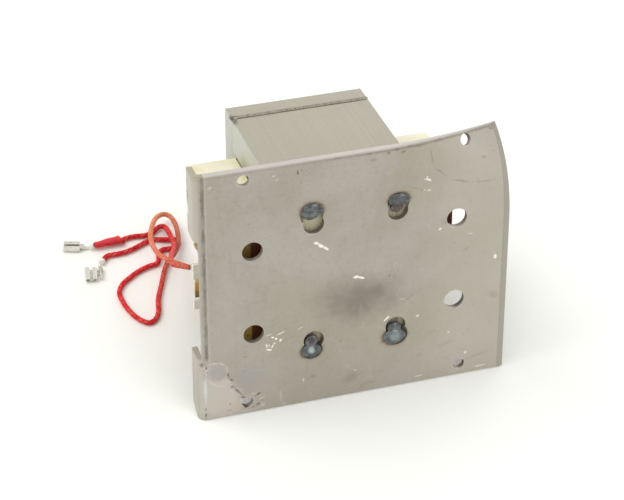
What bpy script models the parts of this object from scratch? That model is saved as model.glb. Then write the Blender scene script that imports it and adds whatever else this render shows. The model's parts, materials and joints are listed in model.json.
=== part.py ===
"""High voltage transformer on its mounting plate, for Blender 4.5. Metres, +Z up.

A welded iron core carries a primary coil, a secondary coil and, between them, two magnetic shunts and
a filament winding. The core is plug welded to a steel plate with a folded flange and a bent corner.
The filament winding's two leads leave through the notch in the flange and lie knotted on the floor.

Most pieces are modelled in the plate's own frame: X right along the plate, Y back from its front face,
Z up, origin at the middle of its four mounting holes. An empty then leans that frame back, because the
transformer rests on the plate's lower edge and the core's lower back edge.
"""

import math

import bmesh
import bpy
from mathutils import Matrix, Vector

# Clearance between pieces that touch
SEAT_GAP = 0.0003

# Mounting plate, a folded sheet
SHEET = 0.0030
PLATE_TOP = 0.0721
PLATE_BOTTOM = -0.0727
PLATE_RIGHT = 0.0836
EDGE_ROLL_WIDTH = 0.0018
EDGE_ROLL_DEPTH = 0.0006
FLANGE_FACE = -0.0843
FLANGE_DEPTH = 0.0116
FOLD_RADIUS = 0.0040
FOLD_STEPS = 6
FLANGE_FOOT_RISE = 0.0053
NOTCH_EDGE = -0.0823
NOTCH_TOP = 0.0345
NOTCH_TOP_SLANT = 0.0013
NOTCH_BOTTOM = -0.0358
NOTCH_BOTTOM_SLANT = 0.0017

# Holes in the plate, in rectangles round its origin
MOUNT_HOLE_DIAMETER = 0.0110
MOUNT_HOLE_PITCH = (0.1088, 0.0494)
WELD_HOLE_DIAMETER = 0.0110
WELD_HOLE_INSET = (0.0158, 0.0132)
SCREW_HOLE_DIAMETER = 0.0065
SCREW_HOLE_PITCH = (0.1167, 0.1324)
BENT_HOLE_SHIFT = (0.0024, 0.0010)
HOLE_SIDES = 24

# The knocked corner bends back past a line across it, on a cylinder
BEND_DIRECTION = math.radians(53.4)
BEND_START = 0.0654
BEND_RADIUS = 0.0480
BEND_STRIPS = 10

# Plug welds in the weld holes: side of the pattern, shift of the weld from the hole, radius
PLUG_WELDS = (
    ("plug_weld_upper_left", -1, 1, (-0.0010, 0.0055), 0.0060),
    ("plug_weld_upper_right", 1, 1, (0.0002, 0.0045), 0.0057),
    ("plug_weld_lower_left", -1, -1, (-0.0010, -0.0058), 0.0053),
    ("plug_weld_lower_right", 1, -1, (0.0004, -0.0055), 0.0062),
)

# Core of E and I laminations, stacked along X
STACK_WIDTH = 0.0762
CORE_HEIGHT = 0.0962
CORE_DEPTH = 0.1037
YOKE_DEPTH = 0.0120
BAR_DEPTH = 0.0115
OUTER_LEG_SHARE = 0.1923
CENTRE_LEG_SHARE = 0.3326
JOINT_CHAMFER_DEPTH = 0.0014
JOINT_CHAMFER_WIDTH = 0.0030

# Welds along the joint of E and I
BEAD_WIDTH = 0.0016
BEAD_HEIGHT = 0.0012
BEAD_RIPPLES = 15
START_LUMP = (0.0021, 0.0026, 0.0017)
END_LUMP = (0.0014, 0.0018, 0.0010)

# Coils round the centre leg
COIL_START = 0.0018
COIL_SPACE = 0.0011
RIGHT_END_DROP = 0.0030
PRIMARY_LEFT_REACH = 0.0279
PRIMARY_RIGHT_REACH = 0.0194
SECONDARY_LEFT_REACH = 0.0234
SECONDARY_RIGHT_REACH = 0.0305
COIL_CORNER = 0.0050
CORNER_STEPS = 4
TUBE_CLEARANCE = 0.0008
TUBE_WALL = 0.0012
TUBE_OVERHANG = 0.0007
WRAP_THICKNESS = 0.0012
PRIMARY_LENGTH = 0.0290
SECONDARY_LENGTH = 0.0190
LAYER_RIDGE = 0.0005
PRIMARY_LAYERS = 7
SECONDARY_LAYERS = 8

# Folded paper guard round the primary's left end, where its leads are
GUARD_THICKNESS = 0.0009
GUARD_PLATE_GAP = 0.0055
GUARD_CORE_GAP = 0.0103
GUARD_SIDE_LENGTH = 0.0270
GUARD_FOLD_RADIUS = 0.0022
GUARD_TOP = 0.0270
GUARD_BOTTOM = -0.0385

# Papers laid over the tops of both coils, one on each side of the core
TOP_PAPER_THICKNESS = 0.0006
TOP_PAPER_CORE_GAP = 0.0006
LEFT_PAPER_WIDTH = 0.0273
RIGHT_PAPER_WIDTH = 0.0300
TOP_PAPER_OVERLAP = 0.0060

# Paper packing that fills the windows between the secondary and the bar
PACKING_SPACE = 0.0005

# Magnetic shunts and filament winding between the coils
SHUNT_SPACE = 0.0018
SHUNT_THICKNESS = 0.0080
SHUNT_PAPER = 0.0006
LEAD_DIAMETER = 0.0028
WINDING_TURNS = 2
WINDING_PITCH = 0.0031
WINDING_SPACE = 0.0005
WINDING_CLEARANCE = 0.0014
WINDING_CORNER = 0.0050

# Terminals on the left of the primary and the right of the secondary
BOARD_SIZE = (0.0081, 0.0014, 0.0121)
BOARD_TOP = -0.0115
BOARD_INSET = 0.0047
POST_SIZE = (0.0096, 0.0018, 0.0058)
POST_INSET = 0.0063
UPPER_POST_EXTRA = 0.0032
TAB_THICKNESS = 0.0008
TAB_LENGTH = 0.0080
TAB_WIDTH = 0.0063
TAB_TIP = 0.0014
TAB_HOLE_DIAMETER = 0.0018
TAB_OFFSET = 0.0036
PRIMARY_SLEEVE_DIAMETER = 0.0036
HV_BLOCK_SIZE = (0.0060, 0.0100, 0.0160)
GROUND_FOOT = 0.0100
GROUND_HEIGHT = 0.0420

# White sleeves where the two leads leave the coil, the second one behind the first
EXIT_SLEEVE_DIAMETER = 0.0036
EXIT_SLEEVE_START = (-0.0590, 0.0545, -0.0125)
EXIT_SLEEVE_END = (-0.0735, 0.0520, -0.0120)
SECOND_SLEEVE_SHIFT = (0.0011, 0.0035, -0.0023)

# Routes of the free leads: X, Y and height above the floor, seen from where the transformer stands
LEAD_ROUTE_A = (
    (-0.0810, 0.0510, 0.0487), (-0.0825, 0.0562, 0.0464),
    (-0.0834, 0.0620, 0.0431), (-0.0839, 0.0730, 0.0355), (-0.0826, 0.0880, 0.0261),
    (-0.0800, 0.1040, 0.0178), (-0.0755, 0.1180, 0.0119), (-0.0707, 0.1275, 0.0081),
    (-0.0662, 0.1315, 0.0061), (-0.0627, 0.1313, 0.0050), (-0.0609, 0.1272, 0.0049),
    (-0.0606, 0.1206, 0.0048), (-0.0617, 0.1125, 0.0048), (-0.0642, 0.1058, 0.0047),
    (-0.0674, 0.1011, 0.0040), (-0.0710, 0.0985, 0.0026), (-0.0745, 0.0930, 0.0017),
    (-0.0788, 0.0831, 0.0015), (-0.0833, 0.0725, 0.0015), (-0.0857, 0.0630, 0.0015),
    (-0.0890, 0.0577, 0.0015), (-0.0931, 0.0567, 0.0015), (-0.0972, 0.0604, 0.0015),
    (-0.1005, 0.0669, 0.0015), (-0.1025, 0.0747, 0.0015), (-0.1027, 0.0817, 0.0015),
    (-0.0999, 0.0873, 0.0015), (-0.0943, 0.0919, 0.0015), (-0.0877, 0.0959, 0.0015),
    (-0.0819, 0.0980, 0.0015), (-0.0778, 0.0988, 0.0015), (-0.0756, 0.1016, 0.0015),
    (-0.0746, 0.1058, 0.0015), (-0.0719, 0.1086, 0.0015), (-0.0678, 0.1086, 0.0015),
    (-0.0638, 0.1090, 0.0015), (-0.0616, 0.1119, 0.0015), (-0.0630, 0.1151, 0.0015),
    (-0.0668, 0.1158, 0.0015), (-0.0710, 0.1169, 0.0015), (-0.0753, 0.1179, 0.0015),
    (-0.0803, 0.1162, 0.0015), (-0.0867, 0.1133, 0.0015), (-0.0929, 0.1115, 0.0015),
    (-0.0986, 0.1112, 0.0015), (-0.1026, 0.1109, 0.0015), (-0.1052, 0.1083, 0.0016),
)
LEAD_ROUTE_B = (
    (-0.0788, 0.0562, 0.0412), (-0.0785, 0.0625, 0.0366),
    (-0.0775, 0.0688, 0.0324), (-0.0759, 0.0768, 0.0275), (-0.0730, 0.0850, 0.0220),
    (-0.0694, 0.0940, 0.0158),
    (-0.0671, 0.1025, 0.0112), (-0.0664, 0.1100, 0.0082), (-0.0660, 0.1180, 0.0056),
    (-0.0667, 0.1250, 0.0030), (-0.0700, 0.1262, 0.0017), (-0.0740, 0.1229, 0.0015),
    (-0.0788, 0.1220, 0.0015), (-0.0844, 0.1225, 0.0015), (-0.0891, 0.1220, 0.0016),
    (-0.0923, 0.1206, 0.0018),
)
LEAD_SPACING = 0.0052

# Pieces on the leads' free ends
LEAD_JACKET_ENDS = ((-0.0927, 0.1204, 0.0028), (-0.1076, 0.1196, 0.0026))
LEAD_JACKET_RADII = (0.0026, 0.0021)
FERRULE_LENGTH = 0.0024
FERRULE_RADIUS = 0.0016
TERMINAL_SHEET = 0.0005
TERMINAL_BODY = (0.0090, 0.0066, 0.0026)
TERMINAL_NECK = (0.0028, 0.0022)
TERMINAL_BARREL = (0.0024, 0.0030, 0.0026)
TERMINAL_B_PLACE = (-0.1106, 0.1202)
TERMINAL_B_HEADING = math.radians(166)
TERMINAL_A_PLACE = (-0.1080, 0.1052)
TERMINAL_A_HEADING = math.radians(260)
PIGGYBACK_OFFSET = 0.0052

# Worked out from the sizes above
CORE_FRONT = SHEET + SEAT_GAP
CORE_BACK = CORE_FRONT + CORE_DEPTH
BAR_FRONT = CORE_BACK - BAR_DEPTH
LEG_END = BAR_FRONT - SEAT_GAP
WINDOW_FRONT = CORE_FRONT + YOKE_DEPTH
CORE_TOP = CORE_HEIGHT / 2
OUTER_LEG = CORE_HEIGHT * OUTER_LEG_SHARE
CENTRE_LEG = CORE_HEIGHT * CENTRE_LEG_SHARE
WINDOW_TOP = CORE_TOP - OUTER_LEG
COIL_BUILD = WINDOW_TOP - CENTRE_LEG / 2 - COIL_SPACE
WELD_HOLE_PITCH = (STACK_WIDTH - WELD_HOLE_INSET[0] * 2, CORE_HEIGHT - WELD_HOLE_INSET[1] * 2)
JOINT = (LEG_END + BAR_FRONT) / 2
PRIMARY_LEFT = STACK_WIDTH / 2 + PRIMARY_LEFT_REACH
PRIMARY_RIGHT = STACK_WIDTH / 2 + PRIMARY_RIGHT_REACH
SECONDARY_LEFT = STACK_WIDTH / 2 + SECONDARY_LEFT_REACH
SECONDARY_RIGHT = STACK_WIDTH / 2 + SECONDARY_RIGHT_REACH
COIL_TOP = CENTRE_LEG / 2 + COIL_BUILD
PRIMARY_FRONT = WINDOW_FRONT + COIL_START
PRIMARY_BACK = PRIMARY_FRONT + PRIMARY_LENGTH
SHUNT_FRONT = PRIMARY_BACK + SHUNT_SPACE
SHUNT_BACK = SHUNT_FRONT + SHUNT_THICKNESS
WINDING_START = SHUNT_BACK + WINDING_SPACE + LEAD_DIAMETER / 2
WINDING_END = WINDING_START + WINDING_TURNS * WINDING_PITCH
SECONDARY_FRONT = WINDING_END + LEAD_DIAMETER / 2 + TUBE_OVERHANG + WINDING_SPACE
SECONDARY_BACK = SECONDARY_FRONT + SECONDARY_LENGTH
LEAN = math.atan2(-CORE_TOP - PLATE_BOTTOM, CORE_BACK - SHEET)
LEAN_BACK = Matrix.Rotation(-LEAN, 4, "X")
FLOOR = (LEAN_BACK @ Vector((0, SHEET, PLATE_BOTTOM))).z


def clear_scene():
    for thing in list(bpy.data.objects):
        bpy.data.objects.remove(thing)


def make_material(name, colour, roughness, metallic):
    material = bpy.data.materials.new(name)
    material.use_nodes = True
    shader = material.node_tree.nodes["Principled BSDF"]
    shader.inputs["Base Color"].default_value = (*colour, 1)
    shader.inputs["Roughness"].default_value = roughness
    shader.inputs["Metallic"].default_value = metallic
    return material


def make_materials():
    return {
        "plate": make_material("plate_steel", (0.42, 0.38, 0.33), 0.45, 0.8),
        "core": make_material("lamination_steel", (0.50, 0.47, 0.38), 0.55, 0.5),
        "weld": make_material("weld_metal", (0.13, 0.14, 0.17), 0.4, 0.8),
        "copper": make_material("varnished_wire", (0.30, 0.10, 0.05), 0.35, 0.4),
        "paper": make_material("insulation_paper", (0.72, 0.66, 0.38), 0.7, 0),
        "amber": make_material("varnished_board", (0.50, 0.30, 0.06), 0.4, 0),
        "plastic": make_material("white_plastic", (0.80, 0.80, 0.72), 0.5, 0),
        "tan": make_material("tan_sleeve", (0.52, 0.40, 0.24), 0.8, 0),
        "tin": make_material("tinned_brass", (0.62, 0.60, 0.54), 0.3, 0.9),
        "orange": make_material("faded_lead", (0.62, 0.22, 0.12), 0.7, 0),
        "red": make_material("red_lead", (0.60, 0.04, 0.05), 0.7, 0),
    }


def mesh_object(name, shape, material):
    """An object made from a bmesh, with its faces turned outward."""
    bmesh.ops.recalc_face_normals(shape, faces=shape.faces)
    mesh = bpy.data.meshes.new(name)
    shape.to_mesh(mesh)
    shape.free()
    piece = bpy.data.objects.new(name, mesh)
    if material:
        mesh.materials.append(material)
    bpy.context.scene.collection.objects.link(piece)
    return piece


def prism(name, outline, along, start, end, material=None):
    """A closed outline pushed along X, Y or Z. The outline's two numbers are the other axes, in order."""
    index = "XYZ".index(along)
    shape = bmesh.new()
    verts = []
    for first, second in outline:
        place = [first, second]
        place.insert(index, start)
        verts.append(shape.verts.new(place))
    face = shape.faces.new(verts)
    moved = bmesh.ops.extrude_face_region(shape, geom=[face])["geom"]
    push = Vector((0, 0, 0))
    push[index] = end - start
    bmesh.ops.translate(shape, vec=push, verts=[v for v in moved if isinstance(v, bmesh.types.BMVert)])
    return mesh_object(name, shape, material)


def block(name, low, high, material=None):
    outline = [(low[0], low[1]), (high[0], low[1]), (high[0], high[1]), (low[0], high[1])]
    return prism(name, outline, "Z", low[2], high[2], material)


def circle(centre, diameter):
    points = []
    for step in range(HOLE_SIDES):
        angle = math.tau * step / HOLE_SIDES
        points.append((centre[0] + diameter / 2 * math.cos(angle), centre[1] + diameter / 2 * math.sin(angle)))
    return points


def taper(name, start, end, start_radius, end_radius, material):
    """A round piece between two points, thicker at one end."""
    way = end - start
    shape = bmesh.new()
    place = Matrix.Translation((start + end) / 2) @ way.to_track_quat("Z", "Y").to_matrix().to_4x4()
    bmesh.ops.create_cone(
        shape, cap_ends=True, segments=14, radius1=start_radius, radius2=end_radius,
        depth=way.length, matrix=place,
    )
    return mesh_object(name, shape, material)


def lump(name, centre, radii, material=None):
    """A rounded blob of weld metal, as wide as its three radii."""
    shape = bmesh.new()
    size = Matrix.Diagonal((*radii, 1))
    bmesh.ops.create_uvsphere(
        shape, u_segments=16, v_segments=8, radius=1, matrix=Matrix.Translation(centre) @ size
    )
    return mesh_object(name, shape, material)


def apply_modifiers(piece):
    """Bakes the modifiers into the mesh, so that later steps can work on the result."""
    graph = bpy.context.evaluated_depsgraph_get()
    mesh = bpy.data.meshes.new_from_object(piece.evaluated_get(graph))
    piece.modifiers.clear()
    piece.data = mesh


def combine(piece, others, operation):
    """Cuts the others from the piece, or joins them to it, and removes them."""
    for other in others:
        step = piece.modifiers.new(operation.lower(), "BOOLEAN")
        step.operation = operation
        step.object = other
    apply_modifiers(piece)
    for other in others:
        bpy.data.objects.remove(other)


def add_bevel(piece, width, segments=2):
    rounding = piece.modifiers.new("edges", "BEVEL")
    rounding.width = width
    rounding.segments = segments
    rounding.limit_method = "ANGLE"
    rounding.angle_limit = math.radians(40)


def rounded_rectangle(left, right, half_height, radius, drop=0):
    """Points round a rectangle in X and Z, the same count for any size. Its right end is lower by the drop."""
    points = []
    for quarter, (side, up) in enumerate(((1, 1), (-1, 1), (-1, -1), (1, -1))):
        reach = right if side > 0 else left
        high = half_height - drop if side > 0 else half_height
        middle = Vector((side * (reach - radius), up * (high - radius)))
        for step in range(CORNER_STEPS + 1):
            angle = math.radians(90) * (quarter + step / CORNER_STEPS)
            points.append(middle + radius * Vector((math.cos(angle), math.sin(angle))))
    return points


def ring(name, inner, outer, section, material):
    """A closed band round the centre leg. The section's points are a part of the way out, and Y."""
    shape = bmesh.new()
    rows = []
    for near, far in zip(inner, outer):
        row = []
        for out, y in section:
            place = near.lerp(far, out)
            row.append(shape.verts.new((place.x, y, place.y)))
        rows.append(row)
    for row, following in zip(rows, rows[1:] + rows[:1]):
        for index in range(len(section)):
            after = (index + 1) % len(section)
            shape.faces.new((row[index], row[after], following[after], following[index]))
    return mesh_object(name, shape, material)


def smooth_route(points, spacing):
    """Points at an even spacing along the smooth curve through the given ones."""
    padded = [points[0] * 2 - points[1], *points, points[-1] * 2 - points[-2]]
    fine = [points[0]]
    for before, start, end, after in zip(padded, padded[1:], padded[2:], padded[3:]):
        for step in range(1, 13):
            t = step / 12
            fine.append(
                ((2 * start) + (end - before) * t + (2 * before - 5 * start + 4 * end - after) * t**2
                 + (3 * start - before - 3 * end + after) * t**3) / 2
            )
    lengths = [0.0]
    for start, end in zip(fine, fine[1:]):
        lengths.append(lengths[-1] + (end - start).length)
    count = max(2, round(lengths[-1] / spacing))
    route = []
    index = 0
    for step in range(count + 1):
        wanted = lengths[-1] * step / count
        while index < len(fine) - 2 and lengths[index + 1] < wanted:
            index += 1
        part = (wanted - lengths[index]) / (lengths[index + 1] - lengths[index])
        route.append(fine[index].lerp(fine[index + 1], part))
    return route


def tube(name, points, diameter, material):
    curve = bpy.data.curves.new(name, "CURVE")
    curve.dimensions = "3D"
    curve.bevel_depth = diameter / 2
    curve.bevel_resolution = 2
    curve.use_fill_caps = True
    spline = curve.splines.new("POLY")
    spline.points.add(len(points) - 1)
    for point, place in zip(spline.points, points):
        point.co = (*place, 1)
    curve.materials.append(material)
    piece = bpy.data.objects.new(name, curve)
    bpy.context.scene.collection.objects.link(piece)
    return piece


def plate_section():
    """The sheet seen from above: the front face, round the fold to the lip, and back along the inside."""
    centre = Vector((FLANGE_FACE + FOLD_RADIUS, FOLD_RADIUS))
    outside = [
        Vector((PLATE_RIGHT, EDGE_ROLL_DEPTH)),
        Vector((PLATE_RIGHT - EDGE_ROLL_WIDTH * 0.4, EDGE_ROLL_DEPTH * 0.3)),
        Vector((PLATE_RIGHT - EDGE_ROLL_WIDTH, 0)),
    ]
    inside = [Vector((PLATE_RIGHT, SHEET))]
    for step in range(FOLD_STEPS + 1):
        angle = math.radians(90) * step / FOLD_STEPS
        away = Vector((-math.sin(angle), -math.cos(angle)))
        outside.append(centre + away * FOLD_RADIUS)
        inside.append(centre + away * (FOLD_RADIUS - SHEET))
    outside.append(Vector((FLANGE_FACE, FLANGE_DEPTH)))
    inside.append(Vector((FLANGE_FACE + SHEET, FLANGE_DEPTH)))
    return outside + inside[::-1]


def notch_cutter():
    """Opens the flange at mid height, square to the fold, with two cuts that slant along the flange."""
    centre = Vector((FLANGE_FACE + FOLD_RADIUS, FOLD_RADIUS))
    angle = math.asin((centre.x - NOTCH_EDGE) / FOLD_RADIUS)
    beyond = centre + Vector((-math.sin(angle), -math.cos(angle))) * FOLD_RADIUS * 2
    outline = [
        centre, beyond, (FLANGE_FACE - SHEET, beyond.y),
        (FLANGE_FACE - SHEET, FLANGE_DEPTH * 2), (centre.x, FLANGE_DEPTH * 2),
    ]
    cutter = prism("cutter", outline, "Z", NOTCH_BOTTOM, NOTCH_TOP)
    for vertex in cutter.data.vertices:
        slant = NOTCH_TOP_SLANT if vertex.co.z > 0 else NOTCH_BOTTOM_SLANT
        vertex.co.z += slant * vertex.co.y / FLANGE_DEPTH
    return cutter


def foot_cutter():
    """Takes off the flange's foot, which would otherwise stand on the floor behind the plate's edge."""
    slope = FLANGE_FOOT_RISE / (FLANGE_DEPTH - SHEET)
    outline = [
        (SHEET, PLATE_BOTTOM), (SHEET + FLANGE_DEPTH, PLATE_BOTTOM + FLANGE_DEPTH * slope),
        (SHEET + FLANGE_DEPTH, PLATE_BOTTOM - SHEET), (SHEET, PLATE_BOTTOM - SHEET),
    ]
    return prism("cutter", outline, "X", FLANGE_FACE - SHEET, FLANGE_FACE + FOLD_RADIUS)


def hole_cutters():
    patterns = (
        (MOUNT_HOLE_PITCH, MOUNT_HOLE_DIAMETER),
        (WELD_HOLE_PITCH, WELD_HOLE_DIAMETER),
        (SCREW_HOLE_PITCH, SCREW_HOLE_DIAMETER),
    )
    cutters = []
    for pitch, diameter in patterns:
        for side in (-1, 1):
            for up in (-1, 1):
                centre = Vector((side * pitch[0] / 2, up * pitch[1] / 2))
                if pitch is SCREW_HOLE_PITCH and side == 1 and up == 1:
                    centre += Vector(BENT_HOLE_SHIFT)
                cutters.append(prism("cutter", circle(centre, diameter), "Y", -SHEET, SHEET * 2))
    return cutters


def plug_weld_places():
    """Name, centre and radii of each plug weld. It bulges from the face and stops inside the sheet."""
    places = []
    for name, side, up, shift, radius in PLUG_WELDS:
        x = side * WELD_HOLE_PITCH[0] / 2 + shift[0]
        z = up * WELD_HOLE_PITCH[1] / 2 + shift[1]
        places.append((name, Vector((x, SHEET * 0.08, z)), Vector((radius, SHEET * 0.62, radius))))
    return places


def bend_corner(mesh):
    """Bends the knocked corner back. Each strip stays flat and the sheet keeps its length."""
    direction = Vector((math.cos(BEND_DIRECTION), 0, math.sin(BEND_DIRECTION)))
    reach = direction.dot(Vector((PLATE_RIGHT, 0, PLATE_TOP))) - BEND_START
    shape = bmesh.new()
    shape.from_mesh(mesh)
    for strip in range(BEND_STRIPS):
        line = direction * (BEND_START + reach * strip / BEND_STRIPS)
        everything = shape.verts[:] + shape.edges[:] + shape.faces[:]
        bmesh.ops.bisect_plane(shape, geom=everything, dist=0.000001, plane_co=line, plane_no=direction)
    for vertex in shape.verts:
        past = vertex.co.dot(direction) - BEND_START
        if past > 0:
            turn = past / BEND_RADIUS
            arm = BEND_RADIUS - vertex.co.y
            vertex.co += direction * (arm * math.sin(turn) - past)
            vertex.co.y = BEND_RADIUS - arm * math.cos(turn)
    bmesh.ops.triangulate(shape, faces=shape.faces)
    shape.to_mesh(mesh)
    shape.free()


def make_plate(material):
    plate = prism("mounting_plate", plate_section(), "Z", PLATE_BOTTOM, PLATE_TOP, material)
    cutters = [notch_cutter(), foot_cutter(), *hole_cutters()]
    clearance = Vector((SEAT_GAP, SEAT_GAP, SEAT_GAP))
    for _, centre, radii in plug_weld_places():
        cutters.append(lump("cutter", centre, radii + clearance))
    combine(plate, cutters, "DIFFERENCE")
    bend_corner(plate.data)
    return plate


def make_plug_welds(material):
    return [lump(name, centre, radii, material) for name, centre, radii in plug_weld_places()]


def joint_lump_places(up):
    """The blobs at the two ends of a joint weld: the arc's start on the left, its end on the right."""
    left = Vector((-STACK_WIDTH / 2 + START_LUMP[0] * 0.3, JOINT, up * CORE_TOP))
    right = Vector((STACK_WIDTH / 2 - END_LUMP[0] * 0.6, JOINT, up * CORE_TOP))
    return ((left, Vector(START_LUMP)), (right, Vector(END_LUMP)))


def e_outline():
    """The E in Y and Z, its outer legs chamfered at the tips for the weld."""
    half_leg = CENTRE_LEG / 2
    tip = LEG_END - JOINT_CHAMFER_WIDTH / 2
    low_side = [
        (CORE_FRONT, -CORE_TOP), (tip, -CORE_TOP), (LEG_END, -CORE_TOP + JOINT_CHAMFER_DEPTH),
        (LEG_END, -WINDOW_TOP), (WINDOW_FRONT, -WINDOW_TOP), (WINDOW_FRONT, -half_leg), (LEG_END, -half_leg),
    ]
    return low_side + [(y, -z) for y, z in reversed(low_side)]


def bar_outline():
    """The I in Y and Z, chamfered where it meets the E."""
    tip = BAR_FRONT + JOINT_CHAMFER_WIDTH / 2
    low_side = [
        (BAR_FRONT, -CORE_TOP + JOINT_CHAMFER_DEPTH), (tip, -CORE_TOP), (CORE_BACK, -CORE_TOP),
    ]
    return low_side + [(y, -z) for y, z in reversed(low_side)]


def make_core(material):
    """Both stacks, with a pocket for each blob of weld."""
    clearance = Vector((SEAT_GAP, SEAT_GAP, SEAT_GAP)) / 2
    stacks = []
    for name, outline in (("core_e_stack", e_outline()), ("core_i_stack", bar_outline())):
        stack = prism(name, outline, "X", -STACK_WIDTH / 2, STACK_WIDTH / 2, material)
        pockets = []
        for up in (1, -1):
            for centre, radii in joint_lump_places(up):
                pockets.append(lump("cutter", centre, radii + clearance))
        combine(stack, pockets, "DIFFERENCE")
        stacks.append(stack)
    return stacks


def make_bead(name, up, material):
    """A rippled bead along the joint, sunk in the chamfers, with a blob at each end."""
    (left, left_radii), (right, right_radii) = joint_lump_places(up)
    start = left.x
    length = right.x - left.x
    steps = BEAD_RIPPLES * 2
    shape = bmesh.new()
    rows = []
    for step in range(steps + 1):
        swell = 1.0 if step % 2 else 0.86
        row = []
        for side in range(8):
            angle = math.radians(45 * side)
            y = JOINT + BEAD_WIDTH / 2 * swell * math.cos(angle)
            z = up * CORE_TOP + BEAD_HEIGHT / 2 * swell * math.sin(angle)
            row.append(shape.verts.new((start + length * step / steps, y, z)))
        rows.append(row)
    for row, following in zip(rows, rows[1:]):
        for index in range(8):
            after = (index + 1) % 8
            shape.faces.new((row[index], row[after], following[after], following[index]))
    shape.faces.new(rows[0])
    shape.faces.new(rows[-1])
    bead = mesh_object(name, shape, material)
    combine(bead, [lump("blob", left, left_radii), lump("blob", right, right_radii)], "UNION")
    return bead


def make_shunts(material):
    """Two stacks of short laminations, papered in between the centre leg and the outer legs."""
    low = CENTRE_LEG / 2 + SHUNT_PAPER
    high = WINDOW_TOP - SHUNT_PAPER
    shunts = []
    for name, bottom, top in (("shunt_upper", low, high), ("shunt_lower", -high, -low)):
        shunt = block(
            name, (-STACK_WIDTH / 2, SHUNT_FRONT, bottom), (STACK_WIDTH / 2, SHUNT_BACK, top), material
        )
        add_bevel(shunt, 0.0003, 1)
        shunts.append(shunt)
    return shunts


def coil_outlines(left, right):
    """Outlines round the leg, from the inside out: tube, its outside, wire, its outside, wrap, its outside."""
    half_width = STACK_WIDTH / 2 + TUBE_CLEARANCE
    half_height = CENTRE_LEG / 2 + TUBE_CLEARANCE
    wire = TUBE_WALL + SEAT_GAP
    wrap = WRAP_THICKNESS
    return (
        rounded_rectangle(half_width, half_width, half_height, 0.0006),
        rounded_rectangle(half_width + TUBE_WALL, half_width + TUBE_WALL, half_height + TUBE_WALL, 0.0014),
        rounded_rectangle(half_width + wire, half_width + wire, half_height + wire, 0.0017),
        *(
            rounded_rectangle(
                left - inward, right - inward, COIL_TOP - inward, COIL_CORNER - inward, RIGHT_END_DROP
            )
            for inward in (wrap + SEAT_GAP, wrap, 0)
        ),
    )


def layered_section(front, back, layers):
    """The section of a winding whose layers of wire show as ridges on both end faces."""
    face = []
    for layer in range(layers):
        face.append((layer / layers, LAYER_RIDGE))
        face.append(((layer + 0.3) / layers, 0))
        face.append(((layer + 0.7) / layers, 0))
    face.append((1, LAYER_RIDGE))
    near = [(out, front + sunk) for out, sunk in face]
    far = [(out, back - sunk) for out, sunk in reversed(face)]
    return near + far


def band(front, back):
    return [(0, front), (1, front), (1, back), (0, back)]


def make_coil(kind, front, back, layers, left, right, tube_material, wire_material, wrap_material):
    """A winding on its insulating tube, with a wrap outside."""
    outlines = coil_outlines(left, right)
    over = TUBE_OVERHANG
    return [
        ring(kind + "_tube", outlines[0], outlines[1], band(front - over, back + over), tube_material),
        ring(kind + "_winding", outlines[2], outlines[3], layered_section(front, back, layers), wire_material),
        ring(kind + "_wrap", outlines[4], outlines[5], band(front + over, back), wrap_material),
    ]


def make_end_guard(material):
    """An angle of varnished paper. One leaf stands between the end turn and the plate, and one lies along the coil."""
    inside = Vector((-PRIMARY_LEFT - SEAT_GAP, SHEET + GUARD_PLATE_GAP + GUARD_THICKNESS))
    front = inside.y - GUARD_THICKNESS
    edge = -STACK_WIDTH / 2 - GUARD_CORE_GAP
    back = front + GUARD_SIDE_LENGTH
    centre = inside + Vector((1, 1)) * (GUARD_FOLD_RADIUS - GUARD_THICKNESS)
    outer = [Vector((edge, front))]
    inner = [Vector((edge, inside.y))]
    for step in range(FOLD_STEPS + 1):
        angle = math.radians(90) * step / FOLD_STEPS
        away = Vector((-math.sin(angle), -math.cos(angle)))
        outer.append(centre + away * GUARD_FOLD_RADIUS)
        inner.append(centre + away * (GUARD_FOLD_RADIUS - GUARD_THICKNESS))
    outer.append(Vector((inside.x - GUARD_THICKNESS, back)))
    inner.append(Vector((inside.x, back)))
    return prism("primary_end_guard", outer + inner[::-1], "Z", GUARD_BOTTOM, GUARD_TOP, material)


def make_top_papers(material):
    """Insulating papers that lie on both coils and bridge the space between them."""
    near = STACK_WIDTH / 2 + TOP_PAPER_CORE_GAP
    front = PRIMARY_BACK - TOP_PAPER_OVERLAP
    back = SECONDARY_BACK + SEAT_GAP
    drop = RIGHT_END_DROP * (SECONDARY_LEFT + near) / (SECONDARY_LEFT + SECONDARY_RIGHT)
    papers = []
    sides = (("left", -near - LEFT_PAPER_WIDTH, -near, 0), ("right", near, near + RIGHT_PAPER_WIDTH, drop))
    for name, start, end, fall in sides:
        low = COIL_TOP + SEAT_GAP - fall
        papers.append(
            block("top_paper_" + name, (start, front, low), (end, back, low + TOP_PAPER_THICKNESS), material)
        )
    return papers


def make_window_packing(material):
    """Paper packing in both windows, which keeps the secondary off the bar."""
    side = STACK_WIDTH / 2
    front = SECONDARY_BACK + TUBE_OVERHANG + SEAT_GAP
    low = CENTRE_LEG / 2 + PACKING_SPACE
    high = WINDOW_TOP - PACKING_SPACE
    return [
        block("window_packing_" + name, (-side, front, bottom), (side, LEG_END, top), material)
        for name, bottom, top in (("upper", low, high), ("lower", -high, -low))
    ]


def sleeve_line(shift):
    """Start, end and direction of an exit sleeve, in the plate's frame."""
    start = Vector(EXIT_SLEEVE_START) + shift
    end = Vector(EXIT_SLEEVE_END) + shift
    return start, end, (end - start).normalized()


def winding_turn():
    """One turn round the leg in X and Z, from the left side up over the top and back to the left side."""
    out = WINDING_CLEARANCE + LEAD_DIAMETER / 2
    side = STACK_WIDTH / 2 + out
    loop = rounded_rectangle(side, side, CENTRE_LEG / 2 + out, WINDING_CORNER)
    backward = list(reversed(loop))
    half = len(backward) // 2
    return backward[half:] + backward[:half]


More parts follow.
